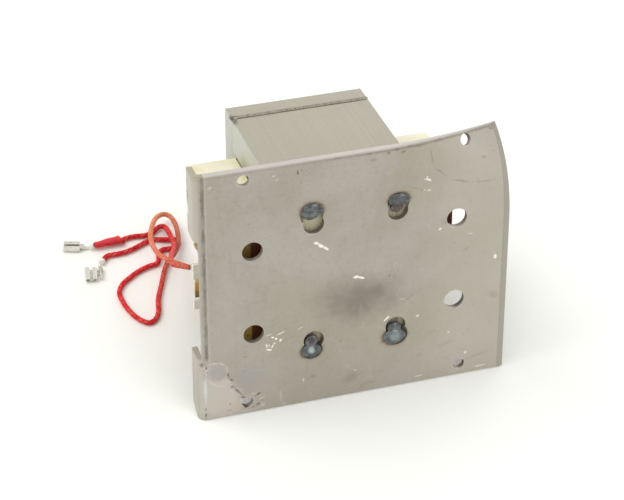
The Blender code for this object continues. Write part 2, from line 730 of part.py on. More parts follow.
def make_filament_winding(material):
    """Two turns of heavy lead, both ends led out to the left into the exit sleeves."""
    turn = winding_turn()
    side = turn[0].x
    first, _, outward = sleeve_line(Vector((0, 0, 0)))
    last, _, _ = sleeve_line(Vector(SECOND_SLEEVE_SHIFT))
    straight = (SEAT_GAP * 2, LEAD_DIAMETER * 1.4)
    points = [first - outward * step for step in straight]
    points.append(Vector((side - 0.0080, WINDING_START - 0.0006, -0.0126)))
    points.append(Vector((side - 0.0015, WINDING_START, -0.0085)))
    count = WINDING_TURNS * len(turn)
    for index in range(count):
        place = turn[index % len(turn)]
        y = WINDING_START + (WINDING_END - WINDING_START) * index / (count - 1)
        points.append(Vector((place.x, y, place.y)))
    points.append(Vector((side - 0.0008, WINDING_END, -0.0010)))
    points.append(Vector((side - 0.0050, WINDING_END - 0.0010, 0.0015)))
    points.append(Vector((side - 0.0098, WINDING_END - 0.0030, -0.0060)))
    points += [last - outward * step for step in reversed(straight)]
    return tube("filament_winding", smooth_route(points, LEAD_DIAMETER * 1.6), LEAD_DIAMETER, material)


def make_exit_sleeves(material):
    sleeves = []
    for name, shift in (("exit_sleeve_a", Vector((0, 0, 0))), ("exit_sleeve_b", Vector(SECOND_SLEEVE_SHIFT))):
        start, end, _ = sleeve_line(shift)
        radius = EXIT_SLEEVE_DIAMETER / 2
        sleeves.append(taper(name, start, end, radius, radius, material))
    return sleeves


def make_tab(name, front, x, z, material):
    """A quick-connect tab that points at the plate, with a tapered tip and a locking hole."""
    half = TAB_WIDTH / 2
    tip = front - TAB_LENGTH
    outline = [
        (front, z - half), (front, z + half), (tip + TAB_TIP, z + half), (tip, z + half - TAB_TIP),
        (tip, z - half + TAB_TIP), (tip + TAB_TIP, z - half),
    ]
    low = x - TAB_THICKNESS / 2
    tab = prism(name, outline, "X", low, low + TAB_THICKNESS, material)
    hole = circle((tip + TAB_LENGTH * 0.4, z), TAB_HOLE_DIAMETER)
    combine(tab, [prism("cutter", hole, "X", low - 0.001, low + 0.002)], "DIFFERENCE")
    return tab


def make_primary_terminals(materials):
    """Two posts with tabs, one above and one below a board, on the left side of the primary."""
    outer = -PRIMARY_LEFT - SEAT_GAP
    back = PRIMARY_BACK - BOARD_INSET
    board_bottom = BOARD_TOP - BOARD_SIZE[2]
    board = block(
        "terminal_board", (outer - BOARD_SIZE[0], back - BOARD_SIZE[1], board_bottom),
        (outer, back, BOARD_TOP), materials["amber"],
    )
    pieces = [board]
    post_back = PRIMARY_BACK - POST_INSET
    upper = (BOARD_TOP + SEAT_GAP, BOARD_TOP + SEAT_GAP + POST_SIZE[2] + UPPER_POST_EXTRA)
    lower = (board_bottom - SEAT_GAP - POST_SIZE[2], board_bottom - SEAT_GAP)
    for name, (low, high) in (("upper", upper), ("lower", lower)):
        post_front = post_back - POST_SIZE[1]
        post = block(
            "terminal_post_" + name, (outer - POST_SIZE[0], post_front, low),
            (outer, post_back, high), materials["plastic"],
        )
        add_bevel(post, 0.0005)
        middle = (low + high) / 2
        tab = make_tab("primary_tab_" + name, post_front - SEAT_GAP, outer - TAB_OFFSET, middle, materials["tin"])
        pieces += [post, tab]
    return pieces


def make_primary_sleeve(material):
    """The tan sleeve of the primary's first wire, arched over the side of the coil."""
    radius = PRIMARY_SLEEVE_DIAMETER / 2
    near = -PRIMARY_LEFT - SEAT_GAP - radius
    y = PRIMARY_BACK - 0.0030
    points = [
        Vector((near, y - 0.0030, 0.0142)), Vector((near - 0.0017, y - 0.0008, 0.0120)),
        Vector((near - 0.0036, y, 0.0086)), Vector((near - 0.0036, y, 0.0063)),
        Vector((near - 0.0014, y - 0.0016, 0.0034)), Vector((near, y - 0.0050, 0.0019)),
    ]
    return tube("primary_lead_sleeve", smooth_route(points, radius), PRIMARY_SLEEVE_DIAMETER, material)


def make_high_voltage_terminal(materials):
    """The secondary's insulated terminal, on the side away from the leads."""
    inner = SECONDARY_RIGHT + SEAT_GAP
    middle = (SECONDARY_FRONT + SECONDARY_BACK) / 2
    front = middle - HV_BLOCK_SIZE[1] / 2
    half = HV_BLOCK_SIZE[2] / 2
    holder = block(
        "hv_terminal_block", (inner, front, -half),
        (inner + HV_BLOCK_SIZE[0], front + HV_BLOCK_SIZE[1], half), materials["plastic"],
    )
    add_bevel(holder, 0.0006)
    tab = make_tab("hv_tab", front - SEAT_GAP, inner + HV_BLOCK_SIZE[0] / 2, 0, materials["tin"])
    return [holder, tab]


def make_ground_tab(material):
    """An angle on the side of the core, where the secondary's inner end is earthed."""
    x = STACK_WIDTH / 2 + SEAT_GAP
    y = WINDOW_FRONT
    thin = TAB_THICKNESS
    outline = [
        (x, y), (x + thin, y), (x + thin, y + GROUND_FOOT - thin), (x + TAB_LENGTH, y + GROUND_FOOT - thin),
        (x + TAB_LENGTH, y + GROUND_FOOT), (x, y + GROUND_FOOT),
    ]
    half = TAB_WIDTH / 2
    return prism("ground_tab", outline, "Z", GROUND_HEIGHT - half, GROUND_HEIGHT + half, material)


def lead_route(shift, route):
    """The whole route of a free lead: straight out of its sleeve, then down to the floor. In world axes."""
    _, end, outward = sleeve_line(shift)
    points = [LEAN_BACK @ (end + outward * step) for step in (SEAT_GAP * 2, LEAD_DIAMETER * 1.4)]
    points += [Vector((x, y, FLOOR + height)) for x, y, height in route]
    return points


def make_leads(materials):
    lead_a = lead_route(Vector((0, 0, 0)), LEAD_ROUTE_A)
    lead_b = lead_route(Vector(SECOND_SLEEVE_SHIFT), LEAD_ROUTE_B)
    return [
        tube("filament_lead_a", smooth_route(lead_a, LEAD_SPACING), LEAD_DIAMETER, materials["orange"]),
        tube("filament_lead_b", smooth_route(lead_b, LEAD_SPACING), LEAD_DIAMETER, materials["red"]),
    ]


def on_floor(place, height):
    return Vector((place[0], place[1], FLOOR + height))


def make_terminal_body(name, length, width, height, start, side, material):
    """A receptacle: a strip of sheet with both long edges curled in over it."""
    thin = TERMINAL_SHEET
    half = width / 2
    right = [
        (half * 0.85, 0), (half, height * 0.35), (half * 0.92, height * 0.9), (half * 0.6, height),
        (half * 0.22, height * 0.92), (half * 0.25, height * 0.92 - thin), (half * 0.6, height - thin),
        (half * 0.92 - thin, height * 0.9 - thin * 0.6), (half - thin, height * 0.35), (half * 0.85 - thin, thin),
    ]
    left = [(-y, z) for y, z in reversed(right)]
    outline = [(side + y, z) for y, z in right + left]
    return prism(name, outline, "X", start, start + length, material)


def barrel_outline(width, height):
    """A crimped barrel from its end, with the seam between its two lobes on top."""
    half = width / 2
    right = [(half * 0.6, 0), (half, height * 0.4), (half * 0.9, height * 0.8), (half * 0.5, height)]
    return right + [(0, height * 0.72)] + [(-y, z) for y, z in reversed(right)]


def make_terminal(name, place, heading, body_side, with_tab, material):
    """A crimped receptacle that lies on the floor. The piggyback kind has a tab beside its body."""
    neck_length, neck_width = TERMINAL_NECK
    barrel_length, barrel_width, barrel_height = TERMINAL_BARREL
    body_length, body_width, body_height = TERMINAL_BODY
    overlap = 0.0002
    reach = neck_length + barrel_length
    body_start = reach - overlap if body_side == 0 else neck_length
    terminal = make_terminal_body(name, body_length, body_width, body_height, body_start, body_side, material)
    half = neck_width / 2
    neck = block("neck", (0, -half, 0), (neck_length + overlap, half, TERMINAL_SHEET * 1.1))
    barrel = prism("barrel", barrel_outline(barrel_width, barrel_height), "X", neck_length, reach)
    parts = [neck, barrel]
    if with_tab:
        low, high = sorted((0, body_side))
        parts.append(block("bridge", (reach - 0.0012, low, 0), (reach + 0.0016, high, TERMINAL_SHEET * 1.2)))
        parts.append(
            block("tab", (reach - overlap, -TAB_THICKNESS / 2, 0), (reach + TAB_LENGTH * 0.7, TAB_THICKNESS / 2, 0.0030))
        )
    combine(terminal, parts, "UNION")
    terminal.location = on_floor(place, SEAT_GAP)
    terminal.rotation_euler.z = heading
    return terminal


def make_lead_ends(materials):
    """The jacket over lead B, the ferrules and the two crimped terminals."""
    start, end = (Vector((x, y, FLOOR + height)) for x, y, height in LEAD_JACKET_ENDS)
    way = (end - start).normalized()
    jacket_start = start + way * SEAT_GAP
    jacket = taper("lead_jacket", jacket_start, end, *LEAD_JACKET_RADII, materials["red"])
    terminal_b = make_terminal(
        "lead_terminal_b", TERMINAL_B_PLACE, TERMINAL_B_HEADING, 0, False, materials["tin"]
    )
    terminal_a = make_terminal(
        "lead_terminal_a", TERMINAL_A_PLACE, TERMINAL_A_HEADING, -PIGGYBACK_OFFSET, True, materials["tin"]
    )
    ferrules = []
    ferrule_starts = (
        ("lead_ferrule_a", Vector((*LEAD_ROUTE_A[-1][:2], FLOOR + LEAD_ROUTE_A[-1][2])), TERMINAL_A_PLACE),
        ("lead_ferrule_b", end, TERMINAL_B_PLACE),
    )
    for name, lead_end, terminal_place in ferrule_starts:
        target = on_floor(terminal_place, FERRULE_RADIUS + SEAT_GAP)
        toward = (target - lead_end).normalized()
        first = lead_end + toward * SEAT_GAP * 2
        last = first + toward * FERRULE_LENGTH
        ferrules.append(taper(name, first, last, FERRULE_RADIUS, FERRULE_RADIUS, materials["plastic"]))
    return [jacket, *ferrules, terminal_a, terminal_b]


def lean_back(pieces):
    """Tips the plate's frame back until it rests on the plate's lower edge and the core's."""
    frame = bpy.data.objects.new("plate_frame", None)
    bpy.context.scene.collection.objects.link(frame)
    frame.rotation_euler.x = -LEAN
    for piece in pieces:
        piece.parent = frame


def build():
    clear_scene()
    materials = make_materials()
    leaning = [make_plate(materials["plate"])]
    leaning += make_plug_welds(materials["weld"])
    leaning += make_core(materials["core"])
    leaning.append(make_bead("seam_weld_top", 1, materials["weld"]))
    leaning.append(make_bead("seam_weld_bottom", -1, materials["weld"]))
    leaning += make_shunts(materials["core"])
    leaning += make_coil(
        "primary", PRIMARY_FRONT, PRIMARY_BACK, PRIMARY_LAYERS, PRIMARY_LEFT, PRIMARY_RIGHT,
        materials["paper"], materials["copper"], materials["amber"],
    )
    leaning += make_coil(
        "secondary", SECONDARY_FRONT, SECONDARY_BACK, SECONDARY_LAYERS, SECONDARY_LEFT, SECONDARY_RIGHT,
        materials["paper"], materials["copper"], materials["paper"],
    )
    leaning.append(make_end_guard(materials["amber"]))
    leaning += make_top_papers(materials["paper"])
    leaning += make_window_packing(materials["paper"])
    leaning.append(make_filament_winding(materials["red"]))
    leaning += make_exit_sleeves(materials["plastic"])
    leaning += make_primary_terminals(materials)
    leaning.append(make_primary_sleeve(materials["tan"]))
    leaning += make_high_voltage_terminal(materials)
    leaning.append(make_ground_tab(materials["tin"]))
    lean_back(leaning)
    make_leads(materials)
    make_lead_ends(materials)


build()
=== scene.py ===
"""The looks of the high voltage transformer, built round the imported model."""

import json
import math
import random

import bmesh
import bpy
from mathutils import Matrix, Vector


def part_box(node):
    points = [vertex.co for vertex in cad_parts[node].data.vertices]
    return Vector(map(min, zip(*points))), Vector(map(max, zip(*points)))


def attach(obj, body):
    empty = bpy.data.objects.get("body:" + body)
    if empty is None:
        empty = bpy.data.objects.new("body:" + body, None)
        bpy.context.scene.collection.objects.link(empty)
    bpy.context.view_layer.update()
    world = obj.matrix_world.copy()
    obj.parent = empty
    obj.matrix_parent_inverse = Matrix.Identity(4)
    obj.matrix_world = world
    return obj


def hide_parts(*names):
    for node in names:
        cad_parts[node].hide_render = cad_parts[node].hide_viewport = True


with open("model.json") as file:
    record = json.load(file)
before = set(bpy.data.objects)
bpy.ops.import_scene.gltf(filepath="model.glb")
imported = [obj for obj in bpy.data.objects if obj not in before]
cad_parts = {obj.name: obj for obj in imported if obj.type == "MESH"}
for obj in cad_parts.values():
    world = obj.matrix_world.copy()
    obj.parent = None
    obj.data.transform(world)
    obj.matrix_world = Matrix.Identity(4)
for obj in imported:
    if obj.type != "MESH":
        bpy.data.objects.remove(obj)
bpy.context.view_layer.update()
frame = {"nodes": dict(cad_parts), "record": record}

# The plate leans back by this angle, about the X axis. Its own frame has Y back from its front face
LEAN = math.radians(13.308)
FLOOR = min(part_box(name)[0].z for name in ("mounting_plate", "core_i_stack"))
PLATE_FRAME = Matrix.Rotation(-LEAN, 4, "X")

# Sizes as in the model, in the plate's frame
SHEET = 0.0030
PLATE_TOP = 0.0712
MOUNT_HOLE = (0.0544, 0.0247)
SCREW_HOLE = (0.05835, 0.0662)
BENT_SCREW_HOLE = (0.06075, 0.0672)
BEND_WAY = Vector((math.cos(math.radians(53.4)), 0, math.sin(math.radians(53.4))))
BEND_START = 0.0654
BEND_RADIUS = 0.0480
STACK_SIDE = 0.0381
CORE_FRONT = 0.0033
CORE_BACK = 0.1070
LEG_END = 0.0952
BAR_FRONT = 0.0955
WINDOW_FRONT = 0.0153
CORE_TOP = 0.0481
WINDOW_TOP = 0.0296
HALF_LEG = 0.0160
JOINT = 0.09535
JOINT_CHAMFER = 0.0014
SHEET_PITCH = 0.0005

# Coils: front, back, reach to the left and to the right
PRIMARY = (0.0171, 0.0461, 0.0660, 0.0589)
SECONDARY = (0.0666, 0.0856, 0.0615, 0.0686)
COIL_TOP = 0.0285
RIGHT_END_DROP = 0.0030
GUARD_LEAF_EDGE = -0.0488
GUARD_LEAF_GROWTH = 0.0036

SEAM_START = -0.0374
SEAM_LENGTH = 0.0752
SEAM_RINGS = 170

# Plug welds: centre and half sizes of the puddle, then of the part in the hole
PLUG_WELDS = {
    "upper_left": ((-0.0233, 0.0430), (0.0058, 0.0042), (-0.0235, 0.0398), (0.0040, 0.0022)),
    "upper_right": ((0.0227, 0.0414), (0.0056, 0.0036), (0.0217, 0.0370), (0.0034, 0.0034)),
    "lower_left": ((-0.0236, -0.0412), (0.0056, 0.0042), (-0.0232, -0.0358), (0.0036, 0.0042)),
    "lower_right": ((0.0218, -0.0412), (0.0066, 0.0050), (0.0218, -0.0366), (0.0040, 0.0036)),
}

SLEEVE_END = Vector((-0.0735, 0.0520, -0.0120))
SLEEVE_WAY = Vector((-0.0145, -0.0025, 0.0005)).normalized()
SECOND_SLEEVE_SHIFT = Vector((0.0011, 0.0035, -0.0023))
LEAD_SPACING = 0.00045
YARN_RADIUS = 0.00138
YARN_WIDTH = 0.00102
YARN_PITCH = 0.0095
YARN_LIFT = 0.00005
YARN_CROWN = 0.00009
FLOOR_REACH = 3.0

# Routes of the free leads, as in the model: X, Y and height above the floor
LEAD_ROUTE_A = (
    (-0.0810, 0.0510, 0.0487), (-0.0825, 0.0562, 0.0464),
    (-0.0834, 0.0620, 0.0431), (-0.0839, 0.0730, 0.0355), (-0.0826, 0.0880, 0.0261),
    (-0.0800, 0.1040, 0.0178), (-0.0755, 0.1180, 0.0119), (-0.0707, 0.1275, 0.0081),
    (-0.0662, 0.1315, 0.0061), (-0.0627, 0.1313, 0.0050), (-0.0609, 0.1272, 0.0049),
    (-0.0606, 0.1206, 0.0048), (-0.0617, 0.1125, 0.0048), (-0.0642, 0.1058, 0.0047),
    (-0.0674, 0.1011, 0.0040), (-0.0710, 0.0985, 0.0026), (-0.0745, 0.0930, 0.0017),
    (-0.0788, 0.0831, 0.0015), (-0.0833, 0.0725, 0.0015), (-0.0857, 0.0630, 0.0015),
    (-0.0890, 0.0577, 0.0015), (-0.0931, 0.0567, 0.0015), (-0.0972, 0.0604, 0.0015),
    (-0.1005, 0.0669, 0.0015), (-0.1025, 0.0747, 0.0015), (-0.1027, 0.0817, 0.0015),
    (-0.0999, 0.0873, 0.0015), (-0.0943, 0.0919, 0.0015), (-0.0877, 0.0959, 0.0015),
    (-0.0819, 0.0980, 0.0015), (-0.0778, 0.0988, 0.0015), (-0.0756, 0.1016, 0.0015),
    (-0.0746, 0.1058, 0.0015), (-0.0719, 0.1086, 0.0015), (-0.0678, 0.1086, 0.0015),
    (-0.0638, 0.1090, 0.0015), (-0.0616, 0.1119, 0.0015), (-0.0630, 0.1151, 0.0015),
    (-0.0668, 0.1158, 0.0015), (-0.0710, 0.1169, 0.0015), (-0.0753, 0.1179, 0.0015),
    (-0.0803, 0.1162, 0.0015), (-0.0867, 0.1133, 0.0015), (-0.0929, 0.1115, 0.0015),
    (-0.0986, 0.1112, 0.0015), (-0.1026, 0.1109, 0.0015), (-0.1052, 0.1083, 0.0016),
)
LEAD_ROUTE_B = (
    (-0.0788, 0.0562, 0.0412), (-0.0785, 0.0625, 0.0366),
    (-0.0775, 0.0688, 0.0324), (-0.0759, 0.0768, 0.0275), (-0.0730, 0.0850, 0.0220),
    (-0.0694, 0.0940, 0.0158),
    (-0.0671, 0.1025, 0.0112), (-0.0664, 0.1100, 0.0082), (-0.0660, 0.1180, 0.0056),
    (-0.0667, 0.1250, 0.0030), (-0.0700, 0.1262, 0.0017), (-0.0740, 0.1229, 0.0015),
    (-0.0788, 0.1220, 0.0015), (-0.0844, 0.1225, 0.0015), (-0.0891, 0.1220, 0.0016),
    (-0.0923, 0.1206, 0.0018),
)


def link(name, data):
    made = bpy.data.objects.new(name, data)
    bpy.context.scene.collection.objects.link(made)
    return made


def add_camera():
    """The camera as fitted to the photo's holes and edges."""
    right = Vector((0.95342, -0.29363, 0.06906))
    up = Vector((0.15958, 0.68527, 0.71059))
    data = bpy.data.cameras.new("camera")
    data.sensor_width = 36
    data.lens = 134.6
    data.clip_start = 0.05
    camera = link("camera", data)
    turn = Matrix((right, up, right.cross(up))).transposed().to_4x4()
    camera.matrix_world = Matrix.Translation((-0.323706, -0.777647, 0.841279)) @ turn
    bpy.context.scene.camera = camera


def linear(colour):
    """A colour as seen on a screen, 0 to 255, as the shader's light values."""
    values = [channel / 255 for channel in colour]
    return tuple(v / 12.92 if v <= 0.04045 else ((v + 0.055) / 1.055) ** 2.4 for v in values)


PAINTS = {}


class Paint:
    """One material's node tree, with short calls for the nodes that it uses. PAINTS holds them by name."""

    def __init__(self, name, roughness=0.5, metallic=0.0, leaning=True, attribute=None):
        PAINTS[name] = bpy.data.materials.new(name)
        PAINTS[name].use_nodes = True
        self.tree = PAINTS[name].node_tree
        self.shader = self.tree.nodes["Principled BSDF"]
        self.shader.inputs["Roughness"].default_value = roughness
        self.shader.inputs["Metallic"].default_value = metallic
        if attribute:
            stored = self.node("Attribute")
            stored.attribute_name = attribute
            self.place = stored.outputs["Vector"]
        else:
            self.place = self.node("TexCoord").outputs["Object"]
            if leaning:
                self.place = self.node("Mapping", Vector=self.place, Rotation=(LEAN, 0, 0)).outputs[0]
        self.x, self.y, self.z = self.node("SeparateXYZ", self.place).outputs
        self.wanders = {}
        self.base = None

    def feed(self, socket, value):
        """Links an output to an input, or sets the input to a number, vector or colour."""
        if isinstance(value, bpy.types.NodeSocket):
            self.tree.links.new(value, socket)
        elif isinstance(value, (int, float)):
            socket.default_value = value
        else:
            socket.default_value = (*value, 1.0)[:len(socket.default_value)]

    def node(self, kind, *values, **named):
        """A new node, its inputs fed in order or by name."""
        node = self.tree.nodes.new("ShaderNode" + kind)
        for socket, value in zip(node.inputs, values):
            self.feed(socket, value)
        for name, value in named.items():
            self.feed(node.inputs[name], value)
        return node

    def maths(self, operation, *values):
        node = self.node("Math", *values)
        node.operation = operation
        return node.outputs[0]

    def times(self, *values):
        total = values[0]
        for value in values[1:]:
            if value != 1.0:
                total = self.maths("MULTIPLY", total, value)
        return total

    def step(self, value, low, high, to_low=0.0, to_high=1.0):
        """Goes smoothly from to_low to to_high as the value goes from low to high."""
        node = self.node("MapRange", value, low, high, to_low, to_high)
        node.interpolation_type = "SMOOTHSTEP"
        return node.outputs[0]

    def noise(self, scale, detail=3.0, roughness=0.5, place=None):
        node = self.node("TexNoise", Vector=place or self.place, Scale=scale, Detail=detail, Roughness=roughness)
        return node.outputs["Fac"]

    def stretched(self, factors, shift=(0, 0, 0), turn=(0, 0, 0)):
        return self.node("Mapping", Vector=self.place, Location=shift, Rotation=turn, Scale=factors).outputs[0]

    def grain(self, factors, detail, roughness, turn=(0, 0, 0)):
        """Noise drawn out along the axes with the smaller factors."""
        return self.noise(1.0, detail, roughness, self.stretched(factors, turn=turn))

    def wander(self, scale):
        """Noise about 0, made once for each scale."""
        if scale not in self.wanders:
            self.wanders[scale] = self.maths("SUBTRACT", self.noise(scale, 4, 0.6), 0.5)
        return self.wanders[scale]

    def mix(self, amount, first, second):
        node = self.node("Mix")
        node.data_type = "RGBA"
        for index, value in ((0, amount), (6, first), (7, second)):
            self.feed(node.inputs[index], value)
        return node.outputs[2]

    def ramp(self, value, stops):
        """Colours between stops, each a place from 0 to 1 and a colour."""
        node = self.node("ValToRGB", value)
        elements = node.color_ramp.elements
        while len(elements) < len(stops):
            elements.new(0.5)
        for element, (place, colour) in zip(elements, stops):
            element.position = place
            element.color = (*linear(colour), 1.0)
        return node.outputs[0]

    def away(self, centre, radii, turn=0.0):
        """Distance from an ellipse's centre on the plate, 1 at its edge."""
        x = self.maths("SUBTRACT", self.x, centre[0])
        z = self.maths("SUBTRACT", self.z, centre[1])
        cosine = math.cos(turn)
        sine = math.sin(turn)
        along = self.maths("MULTIPLY_ADD", x, cosine / radii[0], self.maths("MULTIPLY", z, sine / radii[0]))
        across = self.maths("MULTIPLY_ADD", z, cosine / radii[1], self.maths("MULTIPLY", x, -sine / radii[1]))
        squares = self.maths("MULTIPLY_ADD", along, along, self.maths("MULTIPLY", across, across))
        return self.maths("SQRT", squares)

    def spot(self, centre, radii, soft=0.5, turn=0.0, ragged=0.0, scale=180):
        """1 inside an ellipse on the plate, falling to 0 at its edge."""
        away = self.away(centre, radii, turn)
        if ragged:
            away = self.maths("MULTIPLY_ADD", self.wander(scale), ragged, away)
        return self.step(away, 1, 1 - soft)

    def marks(self, entries, soft, ragged, scale):
        """The strongest of many small ellipses: X, Z and radii in mm, turn in degrees, strength."""
        total = 0.0
        for x, z, wide, high, turn, strength in entries:
            mark = self.spot((x / 1000, z / 1000), (wide / 1000, high / 1000), soft, math.radians(turn), ragged, scale)
            total = self.maths("MAXIMUM", total, self.maths("MULTIPLY", mark, strength))
        return total

    def strip(self, value, centre, half, soft, ragged=0.0, scale=300):
        """1 where a value is near its centre, falling to 0 on both sides."""
        off = self.maths("ABSOLUTE", self.maths("SUBTRACT", value, centre))
        if ragged:
            off = self.maths("MULTIPLY_ADD", self.wander(scale), ragged, off)
        return self.step(off, half, half - soft)

    def ground(self, value, low, high, first, second):
        """The first coat: from one colour to another as the value goes from low to high."""
        self.base = self.mix(self.step(value, low, high), linear(first), linear(second))

    def tint(self, amount, colour, share=1.0, within=1.0):
        """Lays a colour over what is there, by the mask times the share, inside a second mask."""
        self.base = self.mix(self.times(amount, within, share), self.base, linear(colour))

    def fleck(self, noise, low, high, colour, share, within=1.0):
        """Lays a colour where noise of that scale and detail is high."""
        self.tint(self.step(self.noise(*noise), low, high), colour, share, within)

    def roughness(self, value):
        self.feed(self.shader.inputs["Roughness"], value)

    def bump(self, height, distance, strength):
        node = self.node("Bump", Height=height, Distance=distance, Strength=strength)
        self.feed(self.shader.inputs["Normal"], node.outputs[0])

    def finish(self, **constants):
        """Colours the shader with the base and sets constants, such as Coat_Weight, on its sockets."""
        self.feed(self.shader.inputs["Base Color"], self.base)
        for name, value in constants.items():
            self.shader.inputs[name.replace("_", " ")].default_value = value


# Marks on the plate: X, Z, half width and half height in mm, turn in degrees, strength
PALE_MARKS = (
    (-43, 66.3, 1.1, 0.4, 5, 0.55), (-41.4, 63.9, 1.7, 0.4, 25, 0.25), (-75.5, 65.2, 1.5, 1.4, 0, 0.22),
    (-47.6, -33.4, 0.6, 1.7, 10, 0.8), (-46.4, -36, 2.2, 0.6, -15, 1), (-44.6, -34.2, 0.6, 1.9, -20, 0.8),
    (-46.3, -33.4, 0.5, 0.9, 20, 0.7), (-44.4, -28.8, 1.2, 0.7, -20, 1), (-42.6, -29.9, 0.9, 0.8, -30, 1),
    (-40.2, -31.4, 1.2, 0.8, 40, 1), (-43.4, -32.6, 0.7, 0.6, 0, 0.8), (-40, -27, 3, 0.6, 20, 0.6),
    (-46.5, -26.9, 2.6, 0.5, 8, 0.4), (0.4, -0.7, 2.3, 1.1, 4, 1), (3.2, -1.6, 2.6, 0.8, -22, 1),
    (38, 50.3, 2.4, 0.6, -15, 0.9), (37.6, 51.7, 0.7, 0.9, 20, 0.6), (39, 49.4, 1.3, 0.5, -10, 0.6),
    (38.8, 43.9, 1.5, 0.5, -5, 0.7), (36.3, 44.4, 0.6, 0.5, 0, 0.6), (-21, 23.5, 1.8, 1.1, -20, 0.9),
    (-18.6, 21.6, 2.4, 1.2, -35, 1), (-15.8, 19.5, 2.2, 0.9, -38, 0.95), (45.3, 19.7, 1.2, 0.9, 40, 0.7),
    (76.4, -2.6, 1.2, 1.8, 0, 0.85), (-28, -58.7, 0.5, 1.4, 0, 0.5), (34.3, -31.2, 1.3, 0.7, 10, 0.7),
    (25.5, -19, 2, 0.4, -10, 0.3), (0.3, -58.4, 0.6, 0.6, 0, 0.4), (-29.5, -26, 2.4, 0.5, 30, 0.35),
    (17.4, -29.4, 2.6, 0.6, 42, 1), (-23.8, 29.2, 3.5, 0.3, 0, 0.25), (62, -60, 1, 1.2, 0, 0.55),
    (36, -69.5, 3.2, 0.6, 6, 0.4), (70, -70.2, 4.5, 0.8, 4, 0.4), (62, 14, 2.6, 0.5, -10, 0.3),
    (52, -45, 1, 0.8, 0, 0.4),
)
PALE_SMEARS = (
    (-80.6, -40.3, 2.6, 0.9, 20, 0.7), (-76.2, -38.6, 3.8, 0.9, 0, 0.9), (-71.4, -39.8, 3.2, 0.8, -35, 0.8),
    (-68.9, -43.5, 0.8, 2.8, 5, 0.7), (-79.9, -43.8, 1.1, 3.5, 0, 0.9), (-80.6, -53.4, 1.2, 7, 0, 0.9),
    (-76.6, -50.8, 4.8, 0.9, -38, 0.75), (-72.4, -53, 3.4, 0.8, -8, 0.5), (-69, -50.3, 3.6, 0.6, -52, 1),
    (-66.4, -53.7, 2, 0.5, -30, 0.7), (-55, -61.7, 2.6, 0.9, 5, 0.7), (-61.6, -65, 1, 2.8, 12, 0.6),
    (-50.7, -65.4, 2.6, 0.8, 20, 0.8), (-50, -69.6, 1.7, 1.7, 0, 0.6), (-58, -71.6, 9.5, 0.7, 4, 0.55),
    (-40.3, -66.5, 0.7, 6, 6, 0.6), (-38.6, -71.4, 2, 0.8, 0, 0.7), (-66, -70.2, 4.8, 0.5, -12, 0.5),
    (-51.4, -63.8, 0.5, 3.5, 0, 0.5), (-53, -47.2, 6, 0.6, -4, 0.3),
)
DARK_MARKS = (
    (-30.6, 66.2, 0.6, 1.7, 3, 1), (-28.6, 67.4, 0.6, 1.3, 40, 0.45), (-59, -37.9, 1.5, 0.45, 0, 0.7),
    (-68.4, -47.2, 0.8, 2.2, 10, 0.8), (-66.6, -50.6, 1.7, 0.9, -40, 0.8), (-66.2, -55, 1.4, 1.6, 0, 0.6),
    (-63.2, -58.6, 4.4, 1, -52, 0.75), (-60.2, -62.8, 2.4, 1, -15, 0.7), (-52.4, -62.3, 2.4, 0.9, 22, 1),
    (-59, -69.2, 2.3, 0.8, 0, 1), (-52.6, -68.6, 1.6, 0.9, 30, 0.85), (-55.3, -70, 1.6, 0.5, 10, 0.5),
    (-67.6, -65.4, 0.8, 0.8, 0, 0.6), (-68.2, -69.6, 1.9, 0.4, -15, 0.7), (-50.2, -66.8, 0.7, 0.5, 0, 0.6),
    (-80, -40.5, 0.9, 1.2, 0, 0.9), (-79.6, -43.4, 0.7, 0.7, 0, 0.9), (-82.2, -38.4, 1.2, 1.6, -30, 0.7),
    (-80.7, -66.2, 0.5, 0.9, 0, 0.9), (-80.7, -70, 0.7, 1.7, 0, 1), (-82.4, -69.3, 0.4, 0.4, 0, 0.8),
    (16.8, 69.1, 2, 1, 0, 0.6), (21.5, 70.3, 1.5, 1, 0, 0.65), (24.5, 68.4, 1.7, 0.9, 0, 0.65),
    (28.3, 70.6, 2.6, 0.8, 0, 0.5), (33.4, 69.9, 3, 0.9, 0, 0.4), (6.6, 70.4, 3.2, 0.7, 0, 0.45),
    (9, 66.5, 2.4, 1.2, 0, 0.3), (-10, 70.6, 5.5, 0.6, 0, 0.4), (44, 70.6, 5, 0.7, 0, 0.35),
    (78.5, 69, 2.2, 0.9, 0, 0.5), (18.5, -3.4, 1, 1, 0, 0.45), (21, -4.6, 0.8, 0.6, 0, 0.3),
    (-71.4, 50.2, 0.7, 0.5, 0, 0.4), (-57, 48, 1, 0.5, -30, 0.25), (-45, 32, 2, 0.5, 0, 0.25),
    (28.6, -19.6, 1.3, 0.5, 0, 0.35), (-8, -38.6, 1, 1.2, 0, 0.2), (46, -30, 0.9, 0.9, 0, 0.25),
    (70, 56, 3, 1.2, -20, 0.25), (-22.7, -57.6, 2, 1.6, 0, 0.25), (62, 33, 1, 1, 0, 0.2),
)
FAINT_LINES = (
    (40, 62.6, 0.7, 6.6, 8, 1), (44.6, 53.6, 6.6, 0.9, -42, 1), (56.5, 46, 9, 0.9, -18, 0.9),
    (70, 43.2, 7.5, 0.9, -5, 0.9), (30, 47, 8, 0.8, -22, 0.7), (-26, -52, 0.8, 7, -10, 0.5),
    (8.7, -67.9, 6, 1.4, 0, 0.6), (-2, -62.5, 8, 4.5, 15, 0.8), (60, 5, 3, 1.4, 30, 0.5), (76, -26, 6, 3, -30, 0.6),
    (68, -63, 10, 1.6, 12, 0.5), (48, 24, 4, 3.4, 0, 0.5), (36, -56, 5, 2.6, 30, 0.4), (-66, 20, 1.4, 9, 0, 0.4),
    (-50, 55, 1.5, 6, 20, 0.4), (50, -52, 8, 1.6, 12, 0.4),
)


